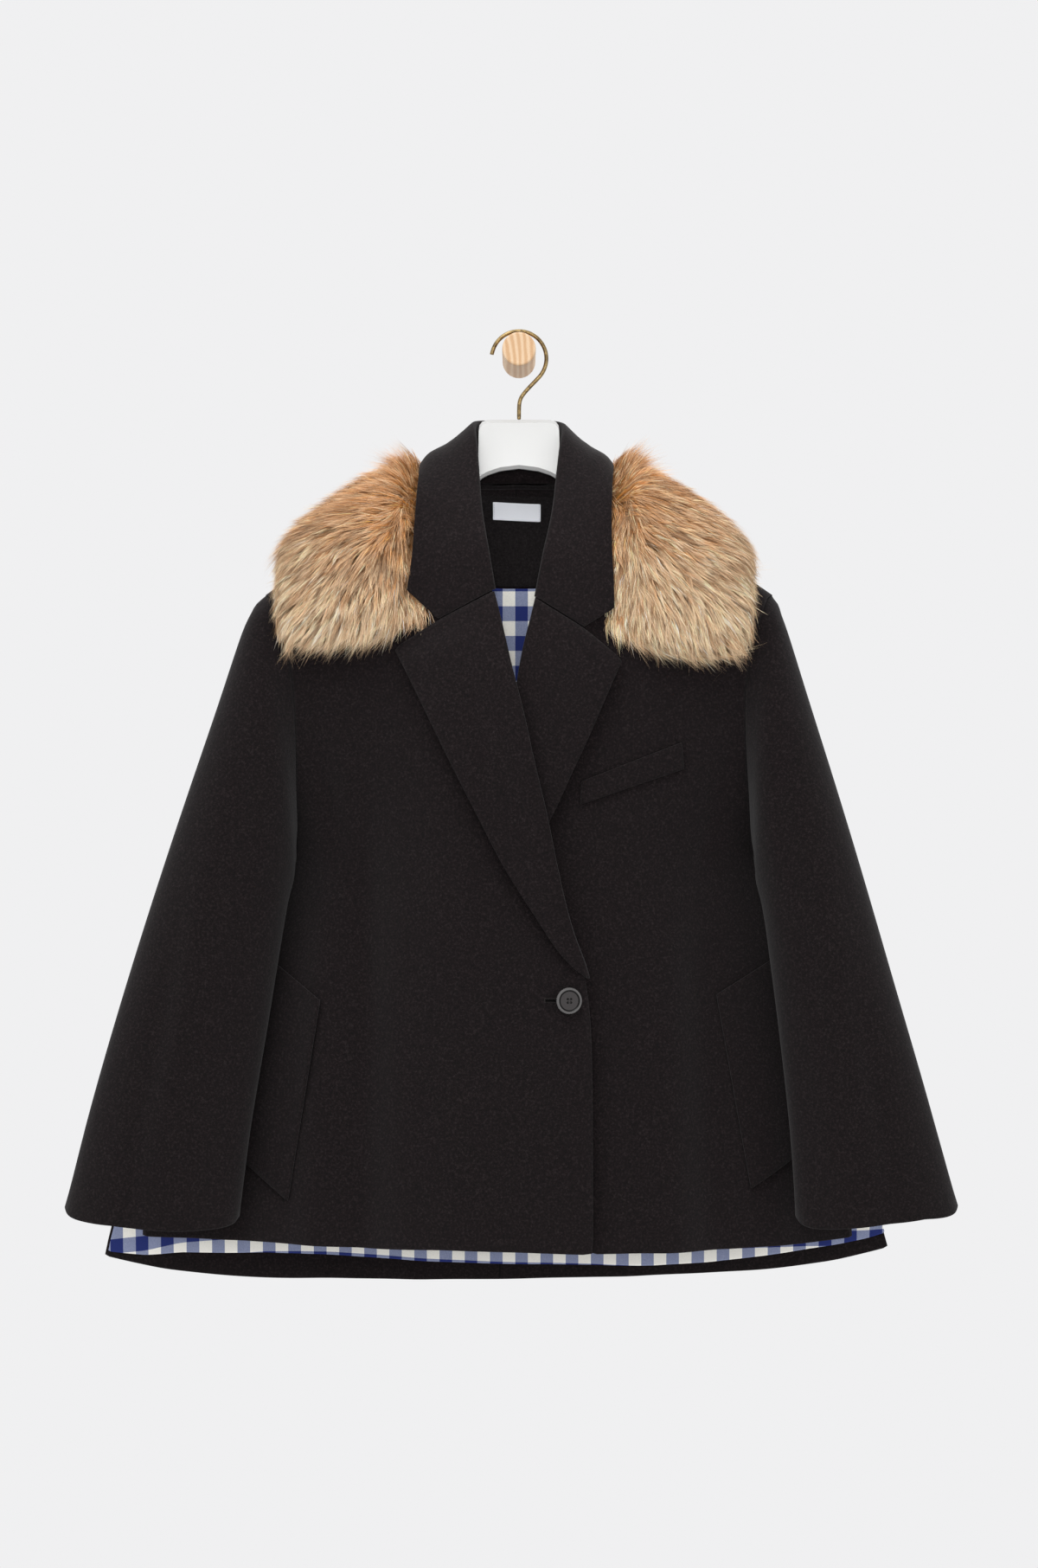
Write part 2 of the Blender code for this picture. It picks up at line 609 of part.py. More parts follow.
def collar_end(gorge, right):
    """The collar's front end: along the gorge to the notch, then up to the collar point."""
    inner_x, inner_z, notch_x, notch_z = gorge[:4]
    point_x, point_z = gorge[6:]
    side = -1 if right else 1
    lift = WOOL / 2 + LAY + LAPEL / 2
    fold = lay_front(inner_x, inner_z + GORGE_GAP, right, lift + LAPEL_ROLL)
    notch = lay_front(notch_x, notch_z + GORGE_GAP, right, lift + NOTCH_LIFT)
    point = lay_front(point_x, point_z, right, lift + POINT_LIFT)
    wide, deep = END_FOLD
    bend = [fold + Vector((side * wide * (1 + cos(a)), deep * (1 - sin(a)), 0.0)) for a in COLLAR_TURN]
    foot = bend[0] + Vector((side * END_STAND, 0.0, 0.0))
    stand = [lerp(foot, bend[0], t) for t in STAND_SHARES]
    leaf = []
    for t in LEAF_SHARES:
        if t <= LEAF_NOTCH:
            leaf.append(lerp(bend[-1], notch, t / LEAF_NOTCH))
        else:
            leaf.append(lerp(notch, point, (t - LEAF_NOTCH) / (1 - LEAF_NOTCH)))
    return stand + bend + leaf


def make_collar(parent):
    rows = COLLAR_RIGHT_ROWS + COLLAR_BACK_ROWS + list(reversed(COLLAR_LEFT_ROWS))
    count = COLLAR_SECTIONS
    folds = resample([Vector(row[0:3]) for row in rows], count)
    edges = resample([Vector(row[3:6]) for row in rows], count)
    feet = resample([Vector(row[6:9]) for row in rows], count)
    sections = [collar_end(GORGE_RIGHT, True)]
    for i, (fold, edge, foot) in enumerate(zip(folds, edges, feet)):
        along = folds[min(i + 1, count - 1)] - folds[max(i - 1, 0)]
        sections.append(collar_section(fold, edge, foot, along))
    sections.append(collar_end(GORGE_LEFT, False))
    cloth("collar", sections, WOOL, "black_wool", parent)


# Fur


def fur_height(across, pile, tuck, start):
    rise = lerp(tuck, pile, ease((across - start) / FUR_RISE))
    past = max(across - FUR_ROUND, 0.0) / (1.0 - FUR_ROUND)
    return max(rise * sqrt(1.0 - past * past), FUR_EDGE)


def make_fur(parent):
    mirrored = [(-x, arc, -out_x - FUR_LEFT_IN, *rest) for x, arc, out_x, *rest in reversed(FUR_ROWS)]
    rows = resample([Vector(r) for r in FUR_ROWS + [FUR_MIDDLE] + mirrored], FUR_SECTIONS)
    base, top = [], []
    for i, row in enumerate(rows):
        x, arc, out_x, out_arc, pile, tuck, start = row
        end = 1.0 - ease(min(i, len(rows) - 1 - i) / FUR_END_ROWS)
        drop = FUR_LEFT_DROP if x > 0 else 0.0
        for t in FUR_SHARES:
            at_x = lerp(x, out_x, t)
            at_arc = lerp(arc, out_arc, t) - end * (FUR_BULGE * sin(pi * t) + drop * (1.0 - t))
            foot, normal = coat_point(at_x, at_arc), coat_normal(at_x, at_arc)
            beside = max(normal.z, 0.0) * (1.0 - ease(t / FUR_STAND_WIDTH))
            pile_way = (normal + Vector((0.0, 0.0, FUR_STAND * beside))).normalized()
            height = fur_height(t, pile * (1.0 + FUR_CREST * beside), tuck, start)
            lay = WOOL / 2 + FUR_LAY + FUR_OVER * ease((t - FUR_LIFT) / (1.0 - FUR_LIFT))
            base.append(foot + normal * lay)
            top.append(base[-1] + pile_way * height)
    count, wide = len(rows), len(FUR_SHARES)
    under = [tuple(reversed(face)) for face in grid_faces(count, wide)]
    over = [tuple(i + count * wide for i in face) for face in grid_faces(count, wide)]
    rim = [r * wide for r in range(count)]
    rim += [(count - 1) * wide + c for c in range(1, wide)]
    rim += [r * wide + wide - 1 for r in reversed(range(count - 1))]
    rim += [c for c in reversed(range(1, wide - 1))]
    walls = []
    for i, first in enumerate(rim):
        second = rim[(i + 1) % len(rim)]
        walls.append((first, second, second + count * wide, first + count * wide))
    mesh = mesh_of("fur_collar", base + top, under + over + walls)
    add_object("fur_collar", mesh, "tan_fur", parent)


# Sleeves


def along_edge(edge, count):
    """Points at even distances along an edge."""
    lengths = [0.0]
    for a, b in zip(edge, edge[1:]):
        lengths.append(lengths[-1] + (b - a).length)
    points = []
    for i in range(count):
        want = lengths[-1] * i / (count - 1)
        j = max(k for k in range(len(edge) - 1) if lengths[k] <= want + 1e-9)
        points.append(lerp(edge[j], edge[j + 1], (want - lengths[j]) / (lengths[j + 1] - lengths[j])))
    return points


def armhole_edge(grid, end):
    """The armhole of a panel from the shoulder tip down, moved off the panel by the seam gap."""
    edge = []
    start, share = SEAM_WIDENS
    rows = list(reversed(grid[UNDERARM_ROW:]))
    for i, row in enumerate(rows):
        inner = row[1] if end == 0 else row[-2]
        tip = row[end]
        gap = lerp(SLEEVE_SEAM, UNDERARM_SEAM, ease((i / (len(rows) - 1) - start) / share))
        edge.append(tip + (tip - inner).normalized() * gap)
    return edge


def sleeve_rings(rows, front, back):
    half = SLEEVE_SIDES // 2
    down = along_edge(front, half + 1)
    up = along_edge(list(reversed(back)), half + 1)
    hole = down[:-1] + [lerp(down[-1], up[0], 0.5)] + up[1:-1]
    hole[0] = lerp(down[0], up[-1], 0.5)

    def ring(outer, inner, depth, half_depth, dip):
        points = []
        for k in range(SLEEVE_SIDES):
            angle = 2 * pi * k / SLEEVE_SIDES
            at = lerp(inner, outer, 0.5 + 0.5 * cos(angle))
            round_out = -half_depth * sin(angle)
            drop = dip * abs(sin(angle)) ** CUFF_ROUND
            points.append(at + Vector((0.0, depth + round_out, -drop)))
        return points

    first = ring(hole[0], hole[half], 0.0, rows[0][5], 0.0)
    change = [a - b for a, b in zip(hole, first)]
    rings = [hole]
    for i, (ox, oz, ix, iz, depth, half_depth, dip) in enumerate(rows):
        made = ring(Vector((ox, 0, oz)), Vector((ix, 0, iz)), depth, half_depth, dip)
        if i < len(CAP_SHARES):
            made = [point + move * CAP_SHARES[i] for point, move in zip(made, change)]
        rings.append(made)
    return rings


def make_sleeves(parent, right, left, back):
    holes = {
        "sleeve_right": (SLEEVE_RIGHT_ROWS, armhole_edge(right, -1), armhole_edge(back, 0)),
        "sleeve_left": (SLEEVE_LEFT_ROWS, armhole_edge(left, -1), armhole_edge(back, -1)),
    }
    for name, (rows, front, rear) in holes.items():
        cloth(name, sleeve_rings(rows, front, rear), WOOL, "black_wool", parent, closed=True)


# Pieces that lie on the panels


def make_welt(name, corners, right, columns, levels, lay, parent):
    (ax, az), (bx, bz), (cx, cz), (dx, dz) = corners
    lift = WOOL / 2 + lay + WELT / 2
    rows = []
    for i in range(levels):
        down = i / (levels - 1)
        start = (lerp(ax, bx, down), lerp(az, bz, down))
        end = (lerp(dx, cx, down), lerp(dz, cz, down))
        shares = [k / (columns - 1) for k in range(columns)]
        rows.append([lay_front(x, z, right, lift) for x, z in span(start, end, shares)])
    cloth(name, rows, WELT, "black_wool", parent)


def moved_in(grid, lift):
    """The points of a panel's grid, moved along its normals towards the inside."""
    inside = []
    for r, row in enumerate(grid):
        above, below = grid[min(r + 1, len(grid) - 1)], grid[max(r - 1, 0)]
        moved = []
        for c, point in enumerate(row):
            across = row[min(c + 1, len(row) - 1)] - row[max(c - 1, 0)]
            moved.append(point + across.cross(above[c] - below[c]).normalized() * lift)
        inside.append(moved)
    return inside


def make_inside(parent, back):
    lift = WOOL / 2 + SEAM + FACING / 2
    first, last = FACING_COLUMNS
    rows = [row[first:last] for row in moved_in(back, lift)[FACING_ROW:]]
    rows[0] = [lerp(a, b, FACING_GAP) for a, b in zip(rows[0], rows[1])]
    facing = rows[:-1]
    cloth("back_facing", facing, FACING, "black_wool", parent)

    rows = moved_in(back, WOOL / 2 + LAY + LINING / 2)[: FACING_ROW + 1]
    rows[0] = [lerp(a, b, LINING_HEM) for a, b in zip(rows[0], rows[1])]
    rows[-1] = [lerp(a, b, FACING_GAP) for a, b in zip(rows[-1], rows[-2])]
    lining = []
    for row in rows:
        start, end = lerp(row[0], row[1], LINING_INSET), lerp(row[-1], row[-2], LINING_INSET)
        lining.append([start] + row[1:-1] + [end])
    cloth("back_lining", lining, LINING, "gingham", parent)

    points = [point for row in facing for point in row]
    seat = BVHTree.FromPolygons(points, grid_faces(len(facing), len(facing[0])))
    wide, tall = LABEL_SIZE
    middle_x, middle_z = LABEL_PLACE
    lift = FACING / 2 + LAY + LABEL / 2
    rows = []
    for i in range(4):
        z = middle_z + tall * (0.5 - i / 3)
        row = []
        for k in range(7):
            across = wide * (k / 6 - 0.5)
            start = Vector((middle_x + across, -HANG, z - across * LABEL_TILT))
            hit = seat.ray_cast(start, Vector((0.0, 1.0, 0.0)))[0]
            row.append(hit - Vector((0.0, lift, 0.0)))
        rows.append(row)
    cloth("label", rows, LABEL, "label_white", parent)


# Button


def make_button(parent):
    rim = BUTTON_RADIUS - BUTTON_RIM
    profile = [
        (0.0, BUTTON_THICK - BUTTON_DISH),
        (rim - BUTTON_STEP, BUTTON_THICK - BUTTON_DISH),
        (rim, BUTTON_THICK),
        (BUTTON_RADIUS - BUTTON_EDGE[0], BUTTON_THICK),
        (BUTTON_RADIUS, BUTTON_THICK - BUTTON_EDGE[1]),
        (BUTTON_RADIUS, BUTTON_BACK[1]),
        (BUTTON_RADIUS - BUTTON_BACK[0], 0.0),
        (0.0, 0.0),
    ]
    shape = bmesh.new()
    line = [shape.verts.new((r, 0.0, h)) for r, h in profile]
    edges = [shape.edges.new(pair) for pair in zip(line, line[1:])]
    bmesh.ops.spin(
        shape, geom=line + edges, axis=(0, 0, 1), cent=(0, 0, 0), steps=BUTTON_SIDES, angle=2 * pi,
        use_merge=True,
    )
    bmesh.ops.remove_doubles(shape, verts=shape.verts, dist=1e-6)
    bmesh.ops.recalc_face_normals(shape, faces=shape.faces)
    mesh = bpy.data.meshes.new("button")
    shape.to_mesh(mesh)
    shape.free()
    button = add_object("button", mesh, "button_horn", parent)
    x, z = BUTTON_PLACE
    seat = lay_front(x, z, True, BUTTON_SEAT)
    turn = Matrix.Rotation(radians(90), 4, "X") @ Matrix.Rotation(BUTTON_TURN, 4, "Y")
    button.matrix_local = Matrix.Translation(seat) @ turn

    shape = bmesh.new()
    for sx in (-1, 1):
        for sy in (-1, 1):
            half = BUTTON_HOLE_PITCH / 2
            place = Matrix.Translation((sx * half, sy * half, BUTTON_THICK / 2))
            bmesh.ops.create_cone(
                shape, cap_ends=True, segments=10, radius1=BUTTON_HOLE, radius2=BUTTON_HOLE,
                depth=BUTTON_THICK * 3, matrix=place,
            )
    bmesh.ops.recalc_face_normals(shape, faces=shape.faces)
    mesh = bpy.data.meshes.new("button_holes")
    shape.to_mesh(mesh)
    shape.free()
    holes = add_object("button_holes", mesh, "button_horn", parent)
    holes.matrix_local = button.matrix_local
    holes.hide_render = True
    holes.display_type = "WIRE"
    cut = button.modifiers.new("holes", "BOOLEAN")
    cut.operation = "DIFFERENCE"
    cut.object = holes


# Hanger, hook and peg


def hanger_sections():
    """x, top and underside of one half of the hanger, from its middle to the arm's end."""
    sections = list(HANGER_ROWS)
    for i in range(ARM_SECTIONS):
        x = lerp(*ARM_SPAN, i / (ARM_SECTIONS - 1))
        top = ridge_height(x) - WOOL / 2 - CREST_GAP
        sections.append((x, top, top - ARM_HEIGHT))
    x, top, foot = sections[-1]
    nose, share = ARM_NOSE
    sections.append((x + nose, lerp(top, foot, share), lerp(foot, top, share)))
    return sections


def make_hanger(parent):
    half = hanger_sections()
    sections = [(-x, top, foot) for x, top, foot in reversed(half[1:])] + half
    deep = HANGER_THICK / 2
    points = []
    for x, top, foot in sections:
        edge = min(HANGER_EDGE, (top - foot) * HANGER_EDGE_SHARE)
        flat = [(-deep, foot + edge), (-deep, top - edge), (edge - deep, top), (deep - edge, top)]
        flat += [(-q, z) for q, z in flat[1::-1]] + [(deep - edge, foot), (edge - deep, foot)]
        points += [Vector((x, q, z)) for q, z in flat]
    sides = len(flat)
    last = (len(sections) - 1) * sides
    ends = [tuple(range(sides)), tuple(range(last, last + sides))]
    mesh = mesh_of("hanger", points, grid_faces(len(sections), sides, True) + ends)
    add_object("hanger", mesh, "hanger_white", parent)


def make_hook(parent):
    middle = PEG_RADIUS + REST + WIRE - HOOK_RADIUS
    points = []
    steps = 18
    for i in range(steps + 1):
        angle = lerp(HOOK_OPEN, HOOK_LEAVE, i / steps)
        points.append((HOOK_RADIUS * cos(angle), middle + HOOK_RADIUS * sin(angle)))
    end_x, end_z = points[-1]
    points += [(end_x * across, end_z - end_x * down) for across, down in HOOK_TAIL]
    points.append((0.0, PLATE_TOP + REST))
    curve = bpy.data.curves.new("hanger_hook", "CURVE")
    curve.dimensions = "3D"
    curve.bevel_depth = WIRE
    curve.bevel_resolution = 2
    curve.use_fill_caps = True
    spline = curve.splines.new("POLY")
    spline.points.add(len(points) - 1)
    for knot, (x, z) in zip(spline.points, points):
        knot.co = (x, 0.0, z, 1.0)
    add_object("hanger_hook", curve, "brass", parent)


def make_peg(parent):
    length = HANG + PEG_FRONT
    shape = bmesh.new()
    place = Matrix.Translation((0.0, -length / 2, 0.0)) @ Matrix.Rotation(radians(90), 4, "X")
    bmesh.ops.create_cone(
        shape, cap_ends=True, segments=32, radius1=PEG_RADIUS, radius2=PEG_RADIUS, depth=length, matrix=place
    )
    rim = [e for e in shape.edges if all(v.co.y < -length + 1e-5 for v in e.verts)]
    bmesh.ops.bevel(shape, geom=rim, offset=PEG_EDGE, segments=2, profile=0.5, affect="EDGES")
    bmesh.ops.recalc_face_normals(shape, faces=shape.faces)
    mesh = bpy.data.meshes.new("wall_peg")
    shape.to_mesh(mesh)
    shape.free()
    mesh.shade_smooth()
    mesh.set_sharp_from_angle(angle=radians(40))
    add_object("wall_peg", mesh, "pine", parent)


def main():
    clear_scene()
    wall = bpy.data.objects.new("wall_plane", None)
    hang = bpy.data.objects.new("hanger_plane", None)
    for empty in (wall, hang):
        bpy.context.scene.collection.objects.link(empty)
    hang.location = (0.0, -HANG, 0.0)
    hang.parent = wall

    right, left, back = make_body(hang)
    cloth("lapel_right", lapel_rows(LAPEL_RIGHT_ROWS, GORGE_RIGHT, True), LAPEL, "black_wool", hang)
    cloth("lapel_left", lapel_rows(LAPEL_LEFT_ROWS, GORGE_LEFT, False), LAPEL, "black_wool", hang)
    make_collar(hang)
    make_fur(hang)
    make_sleeves(hang, right, left, back)
    make_welt("breast_welt", BREAST_WELT, False, 7, 3, BREAST_LAY, hang)
    make_welt("pocket_right", POCKET_RIGHT, True, 5, 9, WELT_LAY, hang)
    make_welt("pocket_left", POCKET_LEFT, False, 5, 9, WELT_LAY, hang)
    make_inside(hang, back)
    make_button(hang)
    make_hanger(hang)
    make_hook(hang)
    make_peg(wall)


main()
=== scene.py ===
import math

import bmesh
import bpy
import numpy as np
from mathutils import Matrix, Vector
from mathutils.bvhtree import BVHTree
from mathutils.kdtree import KDTree


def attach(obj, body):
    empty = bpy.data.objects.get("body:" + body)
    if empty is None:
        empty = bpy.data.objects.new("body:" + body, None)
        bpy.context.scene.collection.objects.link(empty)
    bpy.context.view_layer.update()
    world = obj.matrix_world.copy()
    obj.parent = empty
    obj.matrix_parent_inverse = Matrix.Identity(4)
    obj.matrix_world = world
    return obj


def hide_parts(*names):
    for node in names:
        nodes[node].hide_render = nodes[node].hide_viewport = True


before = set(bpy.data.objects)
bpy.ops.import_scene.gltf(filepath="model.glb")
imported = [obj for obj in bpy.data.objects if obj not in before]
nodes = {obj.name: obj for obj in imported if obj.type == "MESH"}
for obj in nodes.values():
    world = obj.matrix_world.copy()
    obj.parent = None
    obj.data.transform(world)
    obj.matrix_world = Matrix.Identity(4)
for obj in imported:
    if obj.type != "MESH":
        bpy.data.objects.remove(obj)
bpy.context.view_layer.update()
hangPlane = -0.092
bpy.ops.object.select_all(action="DESELECT")


# Colours are linear red, green and blue.
colours = {
    "wool": (0.0068, 0.0043, 0.0047),
    "woolLight": (0.0200, 0.0150, 0.0156),
    "woolDark": (0.0030, 0.0024, 0.0025),
    # The facing tones are the black wool painted lighter: painted light for the light that reaches into the
    # neck
    "facing": (0.0110, 0.0092, 0.0095),
    "facingLight": (0.0200, 0.0170, 0.0175),
    "facingDark": (0.0050, 0.0042, 0.0043),
    "cream": (0.93, 0.91, 0.84),
    "blueMid": (0.275, 0.310, 0.450),
    "navy": (0.019, 0.030, 0.150),
    "labelWhite": (0.90, 0.92, 0.97),
    "hornLight": (0.046, 0.042, 0.042),
    # The rim tone is painted lighter than the face: a painted highlight
    "hornRimHighlight": (0.112, 0.108, 0.107),
    "lacquer": (0.49, 0.49, 0.48),
    "brass": (0.33, 0.235, 0.105),
    "brassDark": (0.12, 0.085, 0.045),
    "pine": (0.63, 0.42, 0.245),
    "pineGrain": (0.55, 0.335, 0.175),
    "pineLight": (0.69, 0.50, 0.325),
    "floor": (0.86, 0.86, 0.865),
    "sky": (0.871, 0.871, 0.879),
    "thread": (0.0020, 0.0016, 0.0016),
    "silk": (0.021, 0.018, 0.018),
    "greyThread": (0.040, 0.037, 0.037),
    "labelThread": (0.62, 0.66, 0.76),
    "pelt": (0.34, 0.175, 0.070),
}


def newMaterial(name, colour, roughness, metallic=0.0):
    material = bpy.data.materials.new(name)
    material.use_nodes = True
    shader = material.node_tree.nodes["Principled BSDF"]
    shader.inputs["Base Color"].default_value = (*colour, 1.0)
    shader.inputs["Roughness"].default_value = roughness
    shader.inputs["Metallic"].default_value = metallic
    return material, material.node_tree, shader


def addNode(tree, kind, settings=None, **values):
    node = tree.nodes.new(kind)
    for key, value in (settings or {}).items():
        setattr(node, key, value)
    for key, value in values.items():
        node.inputs[key.replace("_", " ")].default_value = value
    return node


def addNoise(tree, scale, detail=2.0, roughness=0.5):
    place = addNode(tree, "ShaderNodeTexCoord")
    noise = addNode(tree, "ShaderNodeTexNoise", Scale=scale, Detail=detail, Roughness=roughness)
    tree.links.new(place.outputs["Object"], noise.inputs["Vector"])
    return noise


def addRamp(tree, source, stops):
    ramp = addNode(tree, "ShaderNodeValToRGB")
    while len(ramp.color_ramp.elements) < len(stops):
        ramp.color_ramp.elements.new(0.5)
    for element, (place, colour) in zip(ramp.color_ramp.elements, stops):
        element.position = place
        element.color = (*colour, 1.0)
    tree.links.new(source, ramp.inputs["Fac"])
    return ramp


def addBump(tree, shader, source, strength, distance, under=None):
    bump = addNode(tree, "ShaderNodeBump", Strength=strength, Distance=distance)
    tree.links.new(source, bump.inputs["Height"])
    if under is not None:
        tree.links.new(under.outputs["Normal"], bump.inputs["Normal"])
    tree.links.new(bump.outputs["Normal"], shader.inputs["Normal"])
    return bump


def addMath(tree, operation, first, second):
    node = addNode(tree, "ShaderNodeMath", {"operation": operation})
    for socket, value in zip(node.inputs, (first, second)):
        if isinstance(value, (int, float)):
            socket.default_value = value
        else:
            tree.links.new(value, socket)
    return node.outputs["Value"]


# Mixes the colour to a dark one where the share is 1
def addDark(tree, share, colour, dark):
    mix = addNode(tree, "ShaderNodeMix", {"data_type": "RGBA"})
    tree.links.new(share, mix.inputs["Factor"])
    tree.links.new(colour, mix.inputs[6])
    mix.inputs[7].default_value = (*dark, 1.0)
    return mix.outputs[2]


def addDistance(tree, place, middle):
    away = addNode(tree, "ShaderNodeVectorMath", {"operation": "DISTANCE"})
    tree.links.new(place.outputs["Object"], away.inputs[0])
    away.inputs[1].default_value = middle
    return away.outputs["Value"]


# The seam down the middle of the back: x at the neck, x for each metre down, half width
backSeam = {"top": 0.0, "slant": 0.021, "half": 0.0007}


def addSeamLine(tree, colour, dark):
    place = addNode(tree, "ShaderNodeTexCoord")
    split = addNode(tree, "ShaderNodeSeparateXYZ")
    tree.links.new(place.outputs["Object"], split.inputs["Vector"])
    line = addMath(tree, "MULTIPLY", split.outputs["Z"], backSeam["slant"])
    away = addMath(tree, "SUBTRACT", split.outputs["X"], addMath(tree, "ADD", line, backSeam["top"]))
    inside = addMath(tree, "LESS_THAN", addMath(tree, "ABSOLUTE", away, 0.0), backSeam["half"])
    return addDark(tree, inside, colour, dark)


# The wool: its fibres and the softer unevenness under them, how fine, how deep and how strong
nap = {
    "fibres": 480.0, "fibreDepth": 0.0006, "fibreStrength": 0.55,
    "soft": 170.0, "softDepth": 0.0009, "softStrength": 0.35,
    "roughness": 0.96, "shine": 0.06, "sheen": 0.07, "sheenRoughness": 0.6,
}


def woolMaterial(name, tone, seamed=False):
    dark, middle, light = (colours[tone + end] for end in ("Dark", "", "Light"))
    material, tree, shader = newMaterial(name, middle, nap["roughness"])
    fibres = addNoise(tree, nap["fibres"], 3.0, 0.70).outputs["Fac"]
    colour = addRamp(tree, fibres, [(0.30, dark), (0.52, middle), (0.76, light)]).outputs["Color"]
    if seamed:
        colour = addSeamLine(tree, colour, colours["thread"])
    tree.links.new(colour, shader.inputs["Base Color"])
    shader.inputs["Specular IOR Level"].default_value = nap["shine"]
    shader.inputs["Sheen Weight"].default_value = nap["sheen"]
    shader.inputs["Sheen Roughness"].default_value = nap["sheenRoughness"]
    uneven = addNoise(tree, nap["soft"], 2.0).outputs["Fac"]
    soft = addBump(tree, shader, uneven, nap["softStrength"], nap["softDepth"])
    addBump(tree, shader, fibres, nap["fibreStrength"], nap["fibreDepth"], soft)
    return material


# The check: half a repeat across and down, where one dark stripe starts, and its threads
check = {
    "wide": 0.0114, "tall": 0.01342, "startX": -0.0034, "startZ": -0.2393, "threads": 1500.0, "grain": 0.30,
}


def ginghamMaterial():
    material, tree, shader = newMaterial("gingham_check", colours["blueMid"], 0.88)
    place = addNode(tree, "ShaderNodeAttribute", {"attribute_name": "weave"})
    split = addNode(tree, "ShaderNodeSeparateXYZ")
    tree.links.new(place.outputs["Vector"], split.inputs["Vector"])
    stripes = []
    for axis, size, start in (("X", "wide", "startX"), ("Z", "tall", "startZ")):
        shifted = addMath(tree, "SUBTRACT", split.outputs[axis], check[start])
        repeats = addMath(tree, "DIVIDE", shifted, 2 * check[size])
        stripes.append(addMath(tree, "LESS_THAN", addMath(tree, "FRACT", repeats, 0.0), 0.5))
    both = addMath(tree, "MULTIPLY", addMath(tree, "ADD", *stripes), 0.5)
    threads = addNoise(tree, check["threads"], 1.0)
    grain = addMath(tree, "MULTIPLY", addMath(tree, "SUBTRACT", threads.outputs["Fac"], 0.5), check["grain"])
    stops = [(0.0, colours["cream"]), (0.45, colours["blueMid"]), (0.85, colours["navy"])]
    ramp = addRamp(tree, addMath(tree, "ADD", both, grain), stops)
    tree.links.new(ramp.outputs["Color"], shader.inputs["Base Color"])
    shader.inputs["Specular IOR Level"].default_value = 0.15
    addBump(tree, shader, threads.outputs["Fac"], 0.25, 0.0003)
    return material


def plainCloth(name, colour, scale, strength, shine=0.5):
    material, tree, shader = newMaterial(name, colour, 0.9)
    shader.inputs["Specular IOR Level"].default_value = shine
    addBump(tree, shader, addNoise(tree, scale, 2.0).outputs["Fac"], strength, 0.0004)
    return material


# The button: how far from its middle the face ends, the groove runs and the polished rim starts; the groove
# is painted near-black as painted shade, the rim lighter as a painted highlight; then its four holes, painted
# as dark discs for painted shade where the solid has none: their half distance, their radius and how far the
# face lies out;
# and how far it turns aside
button = {
    "face": 0.0080, "groove": 0.0085, "grooveEnd": 0.0092, "rim": 0.0103, "edge": 0.0125,
    "holes": 0.0015, "holeRadius": 0.0011, "front": 0.0007, "turn": math.radians(16),
}
buttonCorners = np.array([v.co for v in nodes["button"].data.vertices])
buttonMiddle = Vector((buttonCorners.min(0) + buttonCorners.max(0)) / 2)
buttonAcross = Vector((math.cos(button["turn"]), math.sin(button["turn"]), 0.0))
buttonOut = Vector((math.sin(button["turn"]), -math.cos(button["turn"]), 0.0))


def hornMaterial():
    material, tree, shader = newMaterial("dark_horn", colours["hornLight"], 0.28)
    shader.inputs["Specular IOR Level"].default_value = 0.12
    place = addNode(tree, "ShaderNodeTexCoord")
    share = addMath(tree, "DIVIDE", addDistance(tree, place, buttonMiddle), button["edge"])
    clouds = addMath(tree, "MULTIPLY", addNoise(tree, 260.0, 3.0).outputs["Fac"], 0.02)
    # The groove is painted near-black: painted shade. The rim is painted lighter: a painted highlight.
    rings = [("face", "hornLight"), ("groove", "thread"), ("grooveEnd", "thread"), ("rim", "hornRimHighlight")]
    stops = [(0.0, colours["hornLight"])]
    stops += [(button[ring] / button["edge"], colours[tone]) for ring, tone in rings]
    ramp = addRamp(tree, addMath(tree, "ADD", share, clouds), stops)
    nearest = button["edge"]
    for side in (-1, 1):
        for height in (-1, 1):
            hole = buttonMiddle + buttonOut * button["front"] + buttonAcross * side * button["holes"]
            hole.z += height * button["holes"]
            nearest = addMath(tree, "MINIMUM", addDistance(tree, place, hole), nearest)
    # Painted shade: dark discs where the holes would be
    holeShade = addMath(tree, "LESS_THAN", nearest, button["holeRadius"])
    colour = addDark(tree, holeShade, ramp.outputs["Color"], colours["thread"])
    tree.links.new(colour, shader.inputs["Base Color"])
    return material


def lacquerMaterial():
    material, tree, shader = newMaterial("white_lacquer", colours["lacquer"], 0.32)
    addBump(tree, shader, addNoise(tree, 60.0, 1.0).outputs["Fac"], 0.04, 0.0006)
    return material


def brassMaterial():
    material, tree, shader = newMaterial("aged_brass", colours["brass"], 0.36, 1.0)
    tarnish = addNoise(tree, 210.0, 3.0)
    stops = [(0.35, colours["brassDark"]), (0.62, colours["brass"])]
    ramp = addRamp(tree, tarnish.outputs["Fac"], stops)
    tree.links.new(ramp.outputs["Color"], shader.inputs["Base Color"])
    return material


def pineMaterial():
    material, tree, shader = newMaterial("turned_pine", colours["pine"], 0.55)
    place = addNode(tree, "ShaderNodeTexCoord")
    centre = addNode(tree, "ShaderNodeMapping", Location=(0.030, 0.0, 0.006), Scale=(1.0, 0.06, 0.55))
    rings = addNode(
        tree, "ShaderNodeTexWave", {"wave_type": "RINGS", "rings_direction": "Y"},
        Scale=60.0, Distortion=2.2, Detail=2.0, Detail_Scale=1.4,
    )
    tree.links.new(place.outputs["Object"], centre.inputs["Vector"])
    tree.links.new(centre.outputs["Vector"], rings.inputs["Vector"])
    stops = [(0.15, colours["pineGrain"]), (0.55, colours["pine"]), (1.0, colours["pineLight"])]
    ramp = addRamp(tree, rings.outputs["Fac"], stops)
    tree.links.new(ramp.outputs["Color"], shader.inputs["Base Color"])
    addBump(tree, shader, rings.outputs["Fac"], 0.12, 0.0004)
    return material


